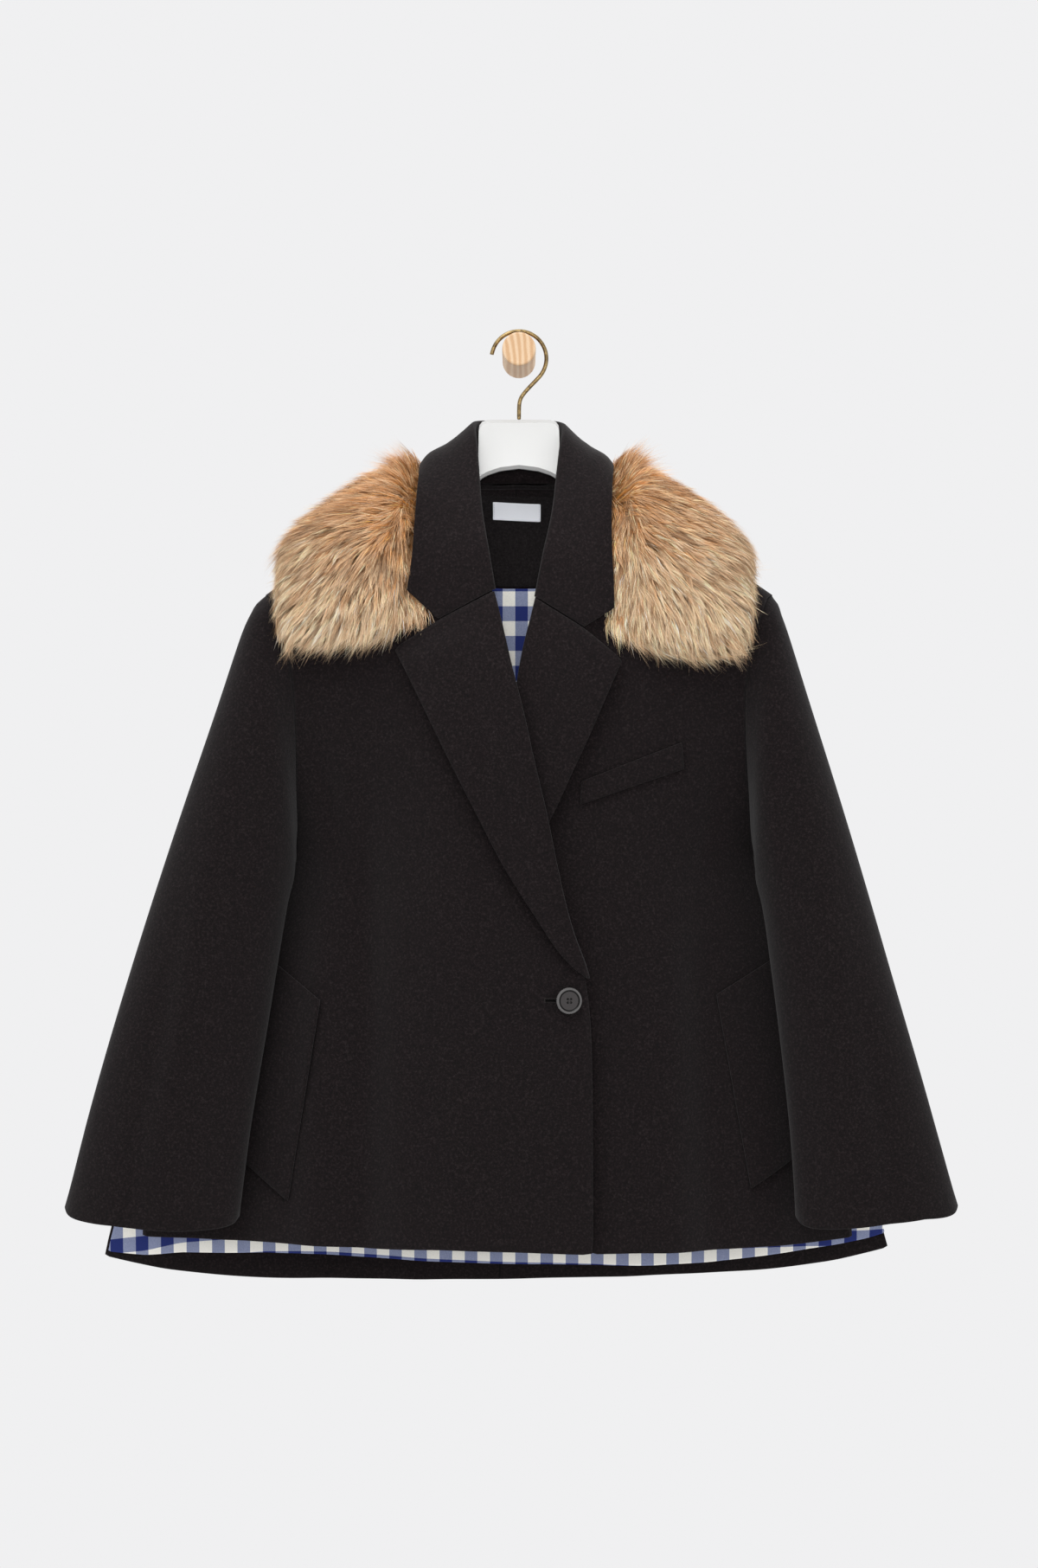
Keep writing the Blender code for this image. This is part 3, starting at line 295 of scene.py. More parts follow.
def furMaterial():
    material, tree, shader = newMaterial("tan_hair", colours["pelt"], 0.55)
    tone = addNode(tree, "ShaderNodeAttribute", {"attribute_name": "hairTone"})
    tree.links.new(tone.outputs["Color"], shader.inputs["Base Color"])
    shader.inputs["Specular IOR Level"].default_value = 0.20
    return material


wool = woolMaterial("black_wool_nap", "wool")
backWool = woolMaterial("black_wool_seamed", "wool", seamed=True)
# The neck facing: the same black wool, painted lighter as painted light inside the neck
litFacingWool = woolMaterial("black_wool_painted_lighter", "facing")
gingham = ginghamMaterial()
labelCloth = plainCloth("label_weave", colours["labelWhite"], 1600.0, 0.3)
# The slit's black strand: painted shade
slitShade = plainCloth("slit_shade_black", colours["thread"], 2500.0, 0.4, 0.05)
buttonholeSilk = plainCloth("buttonhole_silk", colours["silk"], 2500.0, 0.4, 0.10)
greyThread = plainCloth("grey_thread", colours["greyThread"], 2500.0, 0.4, 0.10)
labelThread = plainCloth("label_thread", colours["labelThread"], 2500.0, 0.4)
peltSkin = plainCloth("fur_pelt", colours["pelt"], 500.0, 0.8)
horn = hornMaterial()
hair = furMaterial()
print("materials ready")


# Cloth: each piece is its solid's own form, made finer, with creases laid on it.


def newObject(name, data):
    added = bpy.data.objects.new(name, data)
    bpy.context.scene.collection.objects.link(added)
    return added


def addPiece(name, points, faces, material):
    mesh = bpy.data.meshes.new(name)
    mesh.from_pydata(points, [], faces)
    mesh.validate()
    mesh.materials.append(material)
    return newObject(name, mesh)


def applyModifier(piece, modifier):
    bpy.context.view_layer.objects.active = piece
    piece.select_set(True)
    bpy.ops.object.modifier_apply(modifier=modifier)
    piece.select_set(False)


# The node's faces with their shared corners joined
def mergedShape(node):
    source = nodes[node].data
    shape = bmesh.new()
    corners = [shape.verts.new(v.co) for v in source.vertices]
    for face in source.polygons:
        shape.faces.new([corners[i] for i in face.vertices])
    bmesh.ops.remove_doubles(shape, verts=shape.verts, dist=1e-6)
    bmesh.ops.recalc_face_normals(shape, faces=shape.faces)
    return shape


# Rounds of making finer, the angles within which two triangles join, from which an edge is a rim, and how
# crisp the rims of cloth and wire stay
finer = {
    "levels": 2, "face": math.radians(35), "shape": math.radians(70), "rim": math.radians(48),
    "clothCrease": 0.55, "wireCrease": 0.4,
}


def finerCopy(node, name, material, rimCrease):
    shape = mergedShape(node)
    bmesh.ops.join_triangles(
        shape, faces=shape.faces,
        angle_face_threshold=finer["face"], angle_shape_threshold=finer["shape"],
    )
    crease = shape.edges.layers.float.new("crease_edge")
    for edge in shape.edges:
        if len(edge.link_faces) == 2 and edge.calc_face_angle() > finer["rim"]:
            edge[crease] = rimCrease
    mesh = bpy.data.meshes.new(name)
    shape.to_mesh(mesh)
    shape.free()
    mesh.materials.append(material)
    piece = newObject(name, mesh)
    smooth = piece.modifiers.new("finer", "SUBSURF")
    smooth.levels = finer["levels"]
    smooth.render_levels = finer["levels"]
    applyModifier(piece, "finer")
    piece.data.shade_smooth()
    return piece


def pointsOf(piece):
    points = np.empty(len(piece.data.vertices) * 3)
    piece.data.vertices.foreach_get("co", points)
    return points.reshape(-1, 3)


def setPoints(piece, points):
    piece.data.vertices.foreach_set("co", points.ravel())
    piece.data.update()


def smoothStep(t):
    t = np.clip(t, 0.0, 1.0)
    return t * t * (3.0 - 2.0 * t)


# Creases: x and z where each starts, x and z where it ends, half width, depth into the coat, bow
frontCreases = [
    (-0.137, -0.300, -0.142, -0.930, 0.015, 0.0045, 0.004),
    (-0.170, -0.420, -0.186, -0.900, 0.013, -0.0030, -0.003),
    (-0.112, -0.460, -0.106, -0.920, 0.018, -0.0026, 0.005),
    (-0.185, -0.330, -0.158, -0.470, 0.012, 0.0030, 0.006),
    (-0.060, -0.600, -0.052, -0.930, 0.026, -0.0022, -0.004),
    (-0.186, -0.480, -0.120, -0.560, 0.010, 0.0016, 0.005),
    (-0.225, -0.580, -0.262, -0.900, 0.014, 0.0026, 0.004),
    (0.006, -0.640, -0.006, -0.920, 0.022, 0.0018, 0.005),
    (0.158, -0.430, 0.178, -0.930, 0.016, 0.0042, -0.005),
    (0.126, -0.400, 0.136, -0.900, 0.020, -0.0026, 0.004),
    (0.190, -0.340, 0.160, -0.480, 0.012, 0.0028, -0.005),
    (0.196, -0.500, 0.140, -0.575, 0.010, 0.0015, -0.004),
    (0.215, -0.600, 0.236, -0.900, 0.013, -0.0024, 0.003),
    (0.098, -0.560, 0.102, -0.930, 0.017, 0.0020, 0.004),
]
backCreases = [
    (-0.120, -0.330, -0.190, -0.930, 0.022, -0.0050, 0.008),
    (-0.060, -0.380, -0.095, -0.950, 0.020, 0.0042, -0.006),
    (0.070, -0.360, 0.100, -0.940, 0.021, 0.0046, 0.007),
    (0.130, -0.340, 0.205, -0.930, 0.024, -0.0048, -0.008),
    (0.185, -0.420, 0.110, -0.560, 0.014, -0.0024, 0.006),
    (-0.180, -0.430, -0.100, -0.580, 0.014, -0.0022, -0.006),
    (0.012, -0.520, 0.026, -0.950, 0.026, -0.0030, 0.004),
    (0.262, -0.620, 0.292, -0.930, 0.016, 0.0030, 0.004),
    (-0.290, -0.620, -0.330, -0.930, 0.018, 0.0032, -0.004),
]
sleeveCreases = [
    (-0.236, -0.330, -0.262, -0.520, 0.012, 0.0026, 0.004),
    (-0.268, -0.400, -0.330, -0.760, 0.014, -0.0028, 0.004),
    (-0.285, -0.470, -0.352, -0.860, 0.013, 0.0026, -0.005),
    (-0.240, -0.520, -0.286, -0.850, 0.012, 0.0022, 0.005),
    (-0.215, -0.470, -0.262, -0.545, 0.009, 0.0024, 0.003),
    (-0.222, -0.520, -0.276, -0.600, 0.010, 0.0018, -0.003),
    (0.232, -0.330, 0.252, -0.520, 0.012, 0.0025, -0.004),
    (0.262, -0.420, 0.322, -0.790, 0.014, -0.0028, -0.003),
    (0.276, -0.500, 0.338, -0.860, 0.012, 0.0025, 0.005),
    (0.240, -0.540, 0.276, -0.850, 0.012, 0.0021, -0.004),
    (0.222, -0.470, 0.262, -0.550, 0.009, 0.0023, -0.003),
    (0.228, -0.530, 0.276, -0.605, 0.010, 0.0018, 0.004),
]


# The share of a crease over which it fades in at its start and out at its end
creaseFade = {"start": 0.35, "end": 0.25}


def creaseDepth(rows, x, z):
    depth = np.zeros(len(x))
    for startX, startZ, endX, endZ, half, deep, bow in rows:
        along = np.clip((z - startZ) / (endZ - startZ), 0.0, 1.0)
        middle = startX + (endX - startX) * along + bow * np.sin(math.pi * along)
        fade = smoothStep(along / creaseFade["start"]) * smoothStep((1.0 - along) / creaseFade["end"])
        depth += deep * fade * np.exp(-(((x - middle) / half) ** 2))
    return depth


def creaseFlat(piece, rows, inward):
    points = pointsOf(piece)
    points[:, 1] += inward * creaseDepth(rows, points[:, 0], points[:, 2])
    setPoints(piece, points)


# The sleeves' middle line: depth at each height, their half depth, and how the creases behind differ
sleeveLine = {
    "z": [-0.76, -0.60, -0.48, -0.24], "y": [-0.137, -0.127, -0.110, -0.094], "half": 0.030,
    "backSpread": 0.97, "backDrop": 0.035,
}


# Creases the front of a sleeve towards its middle, and its back a little out of step
def creaseTube(piece, rows):
    points = pointsOf(piece)
    middle = np.interp(points[:, 2], sleeveLine["z"], sleeveLine["y"])
    side = np.clip((points[:, 1] - middle) / sleeveLine["half"], -1.0, 1.0)
    front = creaseDepth(rows, points[:, 0], points[:, 2])
    back = creaseDepth(rows, points[:, 0] * sleeveLine["backSpread"], points[:, 2] + sleeveLine["backDrop"])
    points[:, 1] -= np.where(side < 0, front, back) * side
    setPoints(piece, points)


# One row for each cloth piece: node, piece, flat width, length and area, how it is held, what it hangs from
clothPieces = [
    ("front_right", "right_front", 0.42, 0.71, 0.176, "hung", ["hanger"]),
    ("front_left", "left_front", 0.36, 0.71, 0.168, "hung", ["hanger"]),
    ("back", "back_panel", 0.72, 0.74, 0.354, "hung", ["hanger"]),
    ("sleeve_right", "right_sleeve", 0.40, 0.56, 0.146, "hung", ["right_front"]),
    ("sleeve_left", "left_sleeve", 0.38, 0.56, 0.130, "hung", ["left_front"]),
    ("collar", "notched_collar", 0.15, 0.46, 0.053, "folded", ["back_panel"]),
    ("lapel_right", "right_lapel", 0.14, 0.34, 0.020, "folded", ["right_front"]),
    ("lapel_left", "left_lapel", 0.11, 0.31, 0.016, "folded", ["left_front"]),
    ("pocket_right", "right_pocket", 0.078, 0.215, 0.010, "laid", ["right_front"]),
    ("pocket_left", "left_pocket", 0.078, 0.205, 0.010, "laid", ["left_front"]),
    ("breast_welt", "breast_pocket", 0.097, 0.0215, 0.0020, "laid", ["left_front"]),
    ("back_facing", "neck_facing", 0.095, 0.105, 0.0084, "laid", ["back_panel"]),
    ("back_lining", "check_lining", 0.70, 0.64, 0.286, "hung", ["back_panel"]),
    ("label", "blank_label", 0.044, 0.017, 0.0007, "laid", ["neck_facing"]),
]
clothMaterials = {"back": backWool, "back_facing": litFacingWool, "back_lining": gingham, "label": labelCloth}
frontNodes = (
    "front_right", "front_left", "lapel_right", "lapel_left", "pocket_right", "pocket_left", "breast_welt",
)
backNodes = ("back", "back_facing", "back_lining", "label")
made = {}
for node, name, wide, tall, area, held, restsOn in clothPieces:
    piece = finerCopy(node, name, clothMaterials.get(node, wool), finer["clothCrease"])
    if node in frontNodes:
        creaseFlat(piece, frontCreases, 1.0)
    elif node in backNodes:
        creaseFlat(piece, backCreases, -1.0)
    elif node.startswith("sleeve"):
        creaseTube(piece, sleeveCreases)
    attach(piece, "root")
    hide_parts(node)
    made[name] = piece
print("cloth ready")


# How the lower edges hang: x, and how far the edge is lifted there
rightFrontHang = [
    (-0.330, -0.0080), (-0.290, -0.0052), (-0.220, -0.0028), (-0.130, -0.0027), (-0.065, 0.0013),
    (0.060, 0.0022),
]
leftFrontHang = [
    (0.050, 0.0030), (0.066, -0.0043), (0.137, -0.0070), (0.190, -0.0081), (0.250, -0.0087),
    (0.300, -0.0080),
]
rightCuffHang = [
    (-0.380, 0.0005), (-0.356, 0.0), (-0.302, -0.0052), (-0.265, -0.0080), (-0.246, -0.0095),
]
leftCuffHang = [
    (0.244, -0.0095), (0.257, -0.0090), (0.282, -0.0046), (0.322, 0.0016), (0.355, 0.0042),
    (0.385, 0.0010),
]
liningHang = [
    (-0.364, -0.0075), (-0.330, -0.0040), (-0.300, 0.0030), (-0.230, 0.0080), (-0.200, 0.0075),
    (-0.135, 0.0042), (-0.068, 0.0005), (0.013, -0.0023), (0.066, -0.0038), (0.120, -0.0062),
    (0.173, -0.0052), (0.212, -0.0026), (0.259, -0.0004), (0.304, 0.0010), (0.335, 0.0040),
]
# Piece, its table, the height where the lift starts and the height over which it grows
edgeHangs = [
    ("right_front", rightFrontHang, -0.715, 0.070),
    ("left_front", leftFrontHang, -0.715, 0.070),
    ("right_sleeve", rightCuffHang, -0.680, 0.080),
    ("left_sleeve", leftCuffHang, -0.680, 0.080),
]
# The lining: how far its sides are drawn out at the hem, over what width, and where that starts
liningSides = {
    "right": 0.0070, "left": 0.0080, "over": 0.060, "edge": 0.318, "top": -0.700, "fade": 0.090,
}


def liftAt(rows, points, top, fade):
    places, lifts = np.array(rows).T
    return np.interp(points[:, 0], places, lifts) * smoothStep((top - points[:, 2]) / fade)


def hangEdge(piece, rows, top, fade):
    points = pointsOf(piece)
    points[:, 2] += liftAt(rows, points, top, fade)
    setPoints(piece, points)


towardsViewer = Vector((0.0, -1.0, 0.0))


def frontHit(tree, x, z):
    return tree.ray_cast(Vector((x, -1.0, z)), -towardsViewer)[0]


# The lining follows the back panel.
def hangLining(piece, panelTree):
    points = pointsOf(piece)
    hung = points.copy()
    low = smoothStep((liningSides["top"] - points[:, 2]) / liningSides["fade"])
    start = liningSides["edge"] - liningSides["over"]
    outer = smoothStep((np.abs(points[:, 0]) - start) / liningSides["over"]) * low
    hung[:, 0] += np.where(points[:, 0] < 0, -liningSides["right"], liningSides["left"]) * outer
    weave = hung.copy()
    hung[:, 2] += liftAt(liningHang, points, liningSides["top"], liningSides["fade"])
    for i in np.nonzero(low > 0)[0]:
        before = frontHit(panelTree, points[i, 0], points[i, 2])
        after = frontHit(panelTree, hung[i, 0], hung[i, 2])
        if before is not None and after is not None:
            hung[i, 1] += after.y - before.y
    setPoints(piece, hung)
    layer = piece.data.attributes.new("weave", "FLOAT_VECTOR", "POINT")
    layer.data.foreach_set("vector", weave.ravel())


# The neck facing runs up behind the collar's stand: from which height, over what, how far, and its lean
facingTop = {"from": -0.1315, "fade": 0.0030, "lift": 0.0125, "lean": -0.0012}


def raiseFacing(piece):
    points = pointsOf(piece)
    share = smoothStep((points[:, 2] - facingTop["from"]) / facingTop["fade"])
    points[:, 1] += facingTop["lean"] * share
    points[:, 2] += facingTop["lift"] * share
    setPoints(piece, points)


# The collar's upper corners, where its fold turns: place, half width, and how far they stand out
collarCorner = {"x": 0.078, "z": -0.096, "half": 0.014, "out": 0.0025, "up": 0.0035}


def roundCollar(piece):
    points = pointsOf(piece)
    away = (np.abs(points[:, 0]) - collarCorner["x"]) ** 2 + (points[:, 2] - collarCorner["z"]) ** 2
    share = np.exp(-away / collarCorner["half"] ** 2)
    points[:, 0] += np.sign(points[:, 0]) * collarCorner["out"] * share
    points[:, 2] += collarCorner["up"] * share
    setPoints(piece, points)


# The lapels stand off the fronts: piece, x and z at two places on the roll line, and which way is out
lapelRolls = [
    ("right_lapel", -0.0099, -0.270, 0.0603, -0.540, -1),
    ("left_lapel", 0.0009, -0.270, -0.0400, -0.510, 1),
]
# How far the outer edge stands off, over what width, and how that fades below the seam to the collar
lapelLift = {
    "off": 0.0075, "over": 0.055, "seamX": 0.0138, "seamZ": -0.2167, "slant": 0.476, "fade": 0.032,
}


def liftLapel(piece, startX, startZ, endX, endZ, side):
    points = pointsOf(piece)
    roll = startX + (endX - startX) * (points[:, 2] - startZ) / (endZ - startZ)
    seamZ = lapelLift["seamZ"] - lapelLift["slant"] * (np.abs(points[:, 0]) - lapelLift["seamX"])
    share = smoothStep(side * (points[:, 0] - roll) / lapelLift["over"])
    share *= smoothStep((seamZ - points[:, 2]) / lapelLift["fade"])
    points[:, 1] -= lapelLift["off"] * share
    setPoints(piece, points)


def treeOf(pieces):
    points, faces = [], []
    for piece in pieces:
        start = len(points)
        points += [v.co.copy() for v in piece.data.vertices]
        faces += [[start + i for i in face.vertices] for face in piece.data.polygons]
    return BVHTree.FromPolygons(points, faces)


# Sleeve heads are drawn to the armholes: within what distance fully, within what at all, and the gap left
seam = {"full": 0.0034, "reach": 0.0110, "gap": 0.0003}


def drawToSeam(piece, tree):
    for vertex in piece.data.vertices:
        spot, _, _, away = tree.find_nearest(vertex.co, seam["reach"])
        if spot is None:
            continue
        share = 1.0 - max(away - seam["full"], 0.0) / (seam["reach"] - seam["full"])
        move = max(away - seam["gap"], 0.0) * share * share
        vertex.co += (spot - vertex.co).normalized() * move
    piece.data.update()


for name, rows, top, fade in edgeHangs:
    hangEdge(made[name], rows, top, fade)
hangLining(made["check_lining"], treeOf([made["back_panel"]]))
raiseFacing(made["neck_facing"])
roundCollar(made["notched_collar"])
for name, *roll in lapelRolls:
    liftLapel(made[name], *roll)
drawToSeam(made["right_sleeve"], treeOf([made["right_front"], made["back_panel"]]))
drawToSeam(made["left_sleeve"], treeOf([made["left_front"], made["back_panel"]]))
print("hems and seams ready")


# Fur: a pelt on the solid's foot, and hair that grows from it out to the solid's face.
fur = {
    "strands": 34000, "tries": 1.7, "clumps": 1700, "length": 0.046, "width": 0.00030, "pelt": 0.0012,
    "guard": 0.30, "guardWidth": 2.3, "gather": 0.50, "gatherReach": 0.006,
    "neck": (0.028, -0.092, -0.050), "back": 0.62, "clear": 0.0016, "under": -0.55, "over": 0.05,
    "fall": (0.10, 1.30), "fallFrom": -0.120, "fallTo": -0.235, "behind": 0.030,
}


# The fur solid's corners and normals, its faces on the coat, and those that the hair reaches
def furFaces():
    shape = mergedShape("fur_collar")
    bmesh.ops.triangulate(shape, faces=shape.faces)
    coatNodes = ("front_right", "front_left", "back", "sleeve_right", "sleeve_left")
    coat = treeOf([nodes[node] for node in coatNodes])
    shape.verts.index_update()
    shape.normal_update()
    under, over = [], []
    for face in shape.faces:
        middle = face.calc_center_median()
        out = (middle - coat.find_nearest(middle)[0]).normalized()
        fromNeck = middle - Vector((math.copysign(fur["neck"][0], middle.x), *fur["neck"][1:]))
        facing = face.normal.dot(out)
        if facing < fur["under"]:
            under.append([v.index for v in face.verts])
        elif facing > fur["over"] or face.normal.dot(fromNeck) > 0:
            over.append([v.index for v in face.verts])
    points = [v.co.copy() for v in shape.verts]
    normals = np.array([v.normal for v in shape.verts])
    shape.free()
    return points, normals, under, over


furPoints, furNormals, furUnder, furOver = furFaces()
peltTree = BVHTree.FromPolygons(furPoints, furUnder)
collarTree = treeOf([made["notched_collar"]])


# Where the hair is cut lower than the solid: the crest beside the collar, and the right front's foot
cut = {
    "fromX": 0.094, "toX": 0.140, "sideFade": 0.012, "fromZ": -0.118, "fade": 0.018, "crest": 0.0075,
    "foot": -0.250, "keep": 0.50, "peltKeep": 0.20,
}


def makePelt():
    piece = addPiece("fur_pelt", furPoints, furUnder, peltSkin)
    shape = bmesh.new()
    shape.from_mesh(piece.data)
    loose = [v for v in shape.verts if not v.link_faces]
    bmesh.ops.delete(shape, geom=loose, context="VERTS")
    bmesh.ops.reverse_faces(shape, faces=shape.faces)
    shape.to_mesh(piece.data)
    shape.free()
    wall = piece.modifiers.new("wall", "SOLIDIFY")
    wall.thickness = fur["pelt"]
    wall.offset = 1.0
    applyModifier(piece, "wall")
    points = pointsOf(piece)
    foot = (points[:, 0] < 0) & (points[:, 2] < cut["foot"]) & (points[:, 1] < hangPlane)
    points[foot, 2] = cut["foot"] + (points[foot, 2] - cut["foot"]) * cut["peltKeep"]
    setPoints(piece, points)
    piece.data.shade_smooth()
    return piece


def unit(vectors):
    return vectors / np.maximum(np.linalg.norm(vectors, axis=1, keepdims=True), 1e-9)


def samplesOn(faces, count, chance):
    corners = np.array(furPoints)[np.array(faces)]
    normals = furNormals[np.array(faces)]
    sides = corners[:, 1:] - corners[:, :1]
    sizes = np.linalg.norm(np.cross(sides[:, 0], sides[:, 1]), axis=1)
    picked = chance.choice(len(faces), count, p=sizes / sizes.sum())
    shares = chance.dirichlet((1.0, 1.0, 1.0), count)[:, :, None]
    return (corners[picked] * shares).sum(1), unit((normals[picked] * shares).sum(1))


# On the back the hair lies away from the neck, and more and more down
def backLie(points):
    neck = np.tile(fur["neck"], (len(points), 1))
    neck[:, 0] *= np.sign(points[:, 0])
    away = unit(points - neck)
    lower = smoothStep((points[:, 2] - fur["fallFrom"]) / (fur["fallTo"] - fur["fallFrom"]))
    away[:, 2] -= fur["fall"][0] + (fur["fall"][1] - fur["fall"][0]) * lower
    return away


# How the hair lies on each front: distance from the middle, height, and degrees up from straight out
lieRight = [
    (0.088, -0.095, 84), (0.110, -0.105, 24), (0.126, -0.114, 8), (0.118, -0.132, -8),
    (0.163, -0.140, -8), (0.135, -0.150, -22), (0.196, -0.164, -18), (0.180, -0.187, -42),
    (0.211, -0.202, -40), (0.150, -0.202, -60), (0.096, -0.148, -106), (0.104, -0.187, -90),
    (0.119, -0.233, -80), (0.150, -0.240, -78), (0.189, -0.233, -58), (0.213, -0.242, -42),
    (0.196, -0.262, -66), (0.088, -0.233, -112),
]
lieLeft = [
    (0.084, -0.100, 80), (0.097, -0.106, 24), (0.117, -0.110, -8), (0.146, -0.133, -18),
    (0.190, -0.168, -24), (0.161, -0.174, -36), (0.124, -0.156, -42), (0.102, -0.159, -66),
    (0.087, -0.159, -96), (0.110, -0.194, -67), (0.087, -0.209, -86), (0.139, -0.194, -60),
    (0.175, -0.202, -48), (0.202, -0.223, -30), (0.161, -0.252, -74), (0.197, -0.264, -50),
    (0.117, -0.260, -70), (0.078, -0.245, -76),
]
# How softly one row gives way to the next, and how steeply it loses hold with distance
lieBlend = {"soft": 0.008, "power": 1.5}
# Waves in the lie: how strong in radians, and radians for each metre along x, y and z
lieWaves = [(0.10, 38, 0, 23), (0.08, 0, -44, 61)]


# On the fronts it lies as the rows near by say
def frontLie(points, rows):
    places, heights, degrees = np.array(rows, float).T
    apart = (np.abs(points[:, :1]) - places) ** 2 + (points[:, 2:] - heights) ** 2
    share = 1.0 / (apart + lieBlend["soft"] ** 2) ** lieBlend["power"]
    turns = np.radians(degrees)
    outward = (share * np.cos(turns)).sum(1) * np.sign(points[:, 0])
    return unit(np.stack([outward, np.zeros(len(points)), (share * np.sin(turns)).sum(1)], 1))


def turned(flow, normals, turn):
    across = np.cross(normals, flow)
    return unit(flow * np.cos(turn)[:, None] + across * np.sin(turn)[:, None])


def flowAt(points, normals):
    right = frontLie(points, lieRight)
    left = frontLie(points, lieLeft)
    front = np.where(points[:, :1] < 0, right, left)
    behind = smoothStep((points[:, 1:2] - hangPlane) / fur["behind"])
    lie = front * (1 - behind) + backLie(points) * behind
    flat = unit(lie - normals * (lie * normals).sum(1, keepdims=True))
    turn = np.zeros(len(points))
    for strength, alongX, alongY, alongZ in lieWaves:
        turn += strength * np.sin(alongX * points[:, 0] + alongY * points[:, 1] + alongZ * points[:, 2])
    return turned(flat, normals, turn)


def cutLower(reach, normal):
    away = np.abs(reach[:, 0])
    middle = (cut["fromX"] + cut["toX"]) / 2
    quarter = (cut["toX"] - cut["fromX"]) / 4
    beside = 1.0 - smoothStep((np.abs(away - middle) - quarter) / cut["sideFade"])
    high = smoothStep((reach[:, 2] - cut["fromZ"]) / cut["fade"])
    lower = reach - normal * (cut["crest"] * beside * high)[:, None]
    foot = (lower[:, 0] < 0) & (lower[:, 2] < cut["foot"]) & (lower[:, 1] < hangPlane)
    lower[:, 2] = np.where(foot, cut["foot"] + (lower[:, 2] - cut["foot"]) * cut["keep"], lower[:, 2])
    return lower


# Whether a strand stays clear of the collar all along
def clearOfCollar(knots):
    for a, b in zip(knots, knots[1:]):
        run = Vector(b) - Vector(a)
        if collarTree.ray_cast(Vector(a), run, run.length)[0] is not None:
            return False
        if collarTree.find_nearest(Vector(b), fur["clear"])[0] is not None:
            return False
    return True


# Hair that spills in under the collar's point: from which x and height, how far, and how far back
spill = {"x": 0.102, "z": -0.208, "in": 0.014, "back": 0.004, "share": 0.6}


def spillUnder(reach, chance):
    under = (np.abs(reach[:, 0]) < spill["x"]) & (reach[:, 2] < spill["z"]) & (reach[:, 1] < hangPlane)
    under &= chance.uniform(0.0, 1.0, len(reach)) < spill["share"]
    inward = chance.uniform(0.0, 1.0, len(reach)) * under
    reach[:, 0] -= np.sign(reach[:, 0]) * spill["in"] * inward
    reach[:, 1] += spill["back"] * inward
    return reach


def nearestOf(centres, points):
    near = KDTree(len(centres))
    for i, spot in enumerate(centres):
        near.insert(spot, i)
    near.balance()
    return np.array([near.find(spot)[1] for spot in points])


# The roots: how deep they look for the pelt, and how much of the room to the collar they use
roots = {"depth": 0.012, "room": 0.8, "clear": 0.002, "towards": 0.25}


# The way back to the root is shorter where the collar is near
def rootsOf(reach, normal, flow, length):
    nearest = [collarTree.find_nearest(spot) for spot in reach]
    space = np.array([found[3] for found in nearest])
    toCollar = unit(np.array([found[0] for found in nearest]) - reach)
    towards = np.maximum(-(flow * toCollar).sum(1), roots["towards"])
    room = (space * roots["room"] - roots["clear"]) / towards
    back = np.clip(np.minimum(length * fur["back"], room), 0.0, None)[:, None]
    feet = reach - flow * back - normal * roots["depth"]
    return np.array([peltTree.find_nearest(spot)[0] for spot in feet]), back


# How far the upper edge stands up on the right and the left, from which x and slope on, and over what
crown = {"right": 0.0030, "left": -0.0034, "fromX": 0.112, "fade": 0.020, "slope": 0.25, "slopeFade": 0.4}


def crownLift(reach, normal):
    outer = smoothStep((np.abs(reach[:, 0]) - crown["fromX"]) / crown["fade"])
    high = smoothStep((normal[:, 2] - crown["slope"]) / crown["slopeFade"])
    return np.where(reach[:, 0] < 0, crown["right"], crown["left"]) * high * outer


# Fine wisps at the front's rims: from which height and slope on, over what, how much longer, in which locks
wisps = {
    "low": -0.232, "lowFade": 0.030, "slope": 0.25, "slopeFade": 0.30, "behind": 0.030, "longer": 0.75,
    "lock": 1.0,
}


def rimShare(reach, normal):
    low = smoothStep((wisps["low"] - reach[:, 2]) / wisps["lowFade"])
    rim = np.maximum(low, smoothStep((normal[:, 2] - wisps["slope"]) / wisps["slopeFade"]))
    return rim * (1.0 - smoothStep((reach[:, 1] - hangPlane) / wisps["behind"]))


# How clumps and single strands vary: turn in radians, length, height over the face, run past it, and lean
vary = {
    "clumpTurn": 0.13, "turn": 0.09, "clumpLength": (0.80, 1.15), "length": (0.70, 1.15),
    "clumpLift": (-0.001, 0.003), "lift": 0.0016, "guardLift": 0.0014, "underLift": -0.0004,
    "lock": (0.40, 1.50), "tipRun": (0.06, 0.30), "guardRun": 1.4, "lean": 0.5,
}
# A strand's knots along it, its width at all but the last, and where it bends: share of the way back, and out
strand = {"knots": (0.0, 0.34, 0.68, 1.0), "widths": (1.0, 0.95, 0.62), "bendBack": 0.45, "bendOut": 0.0015}


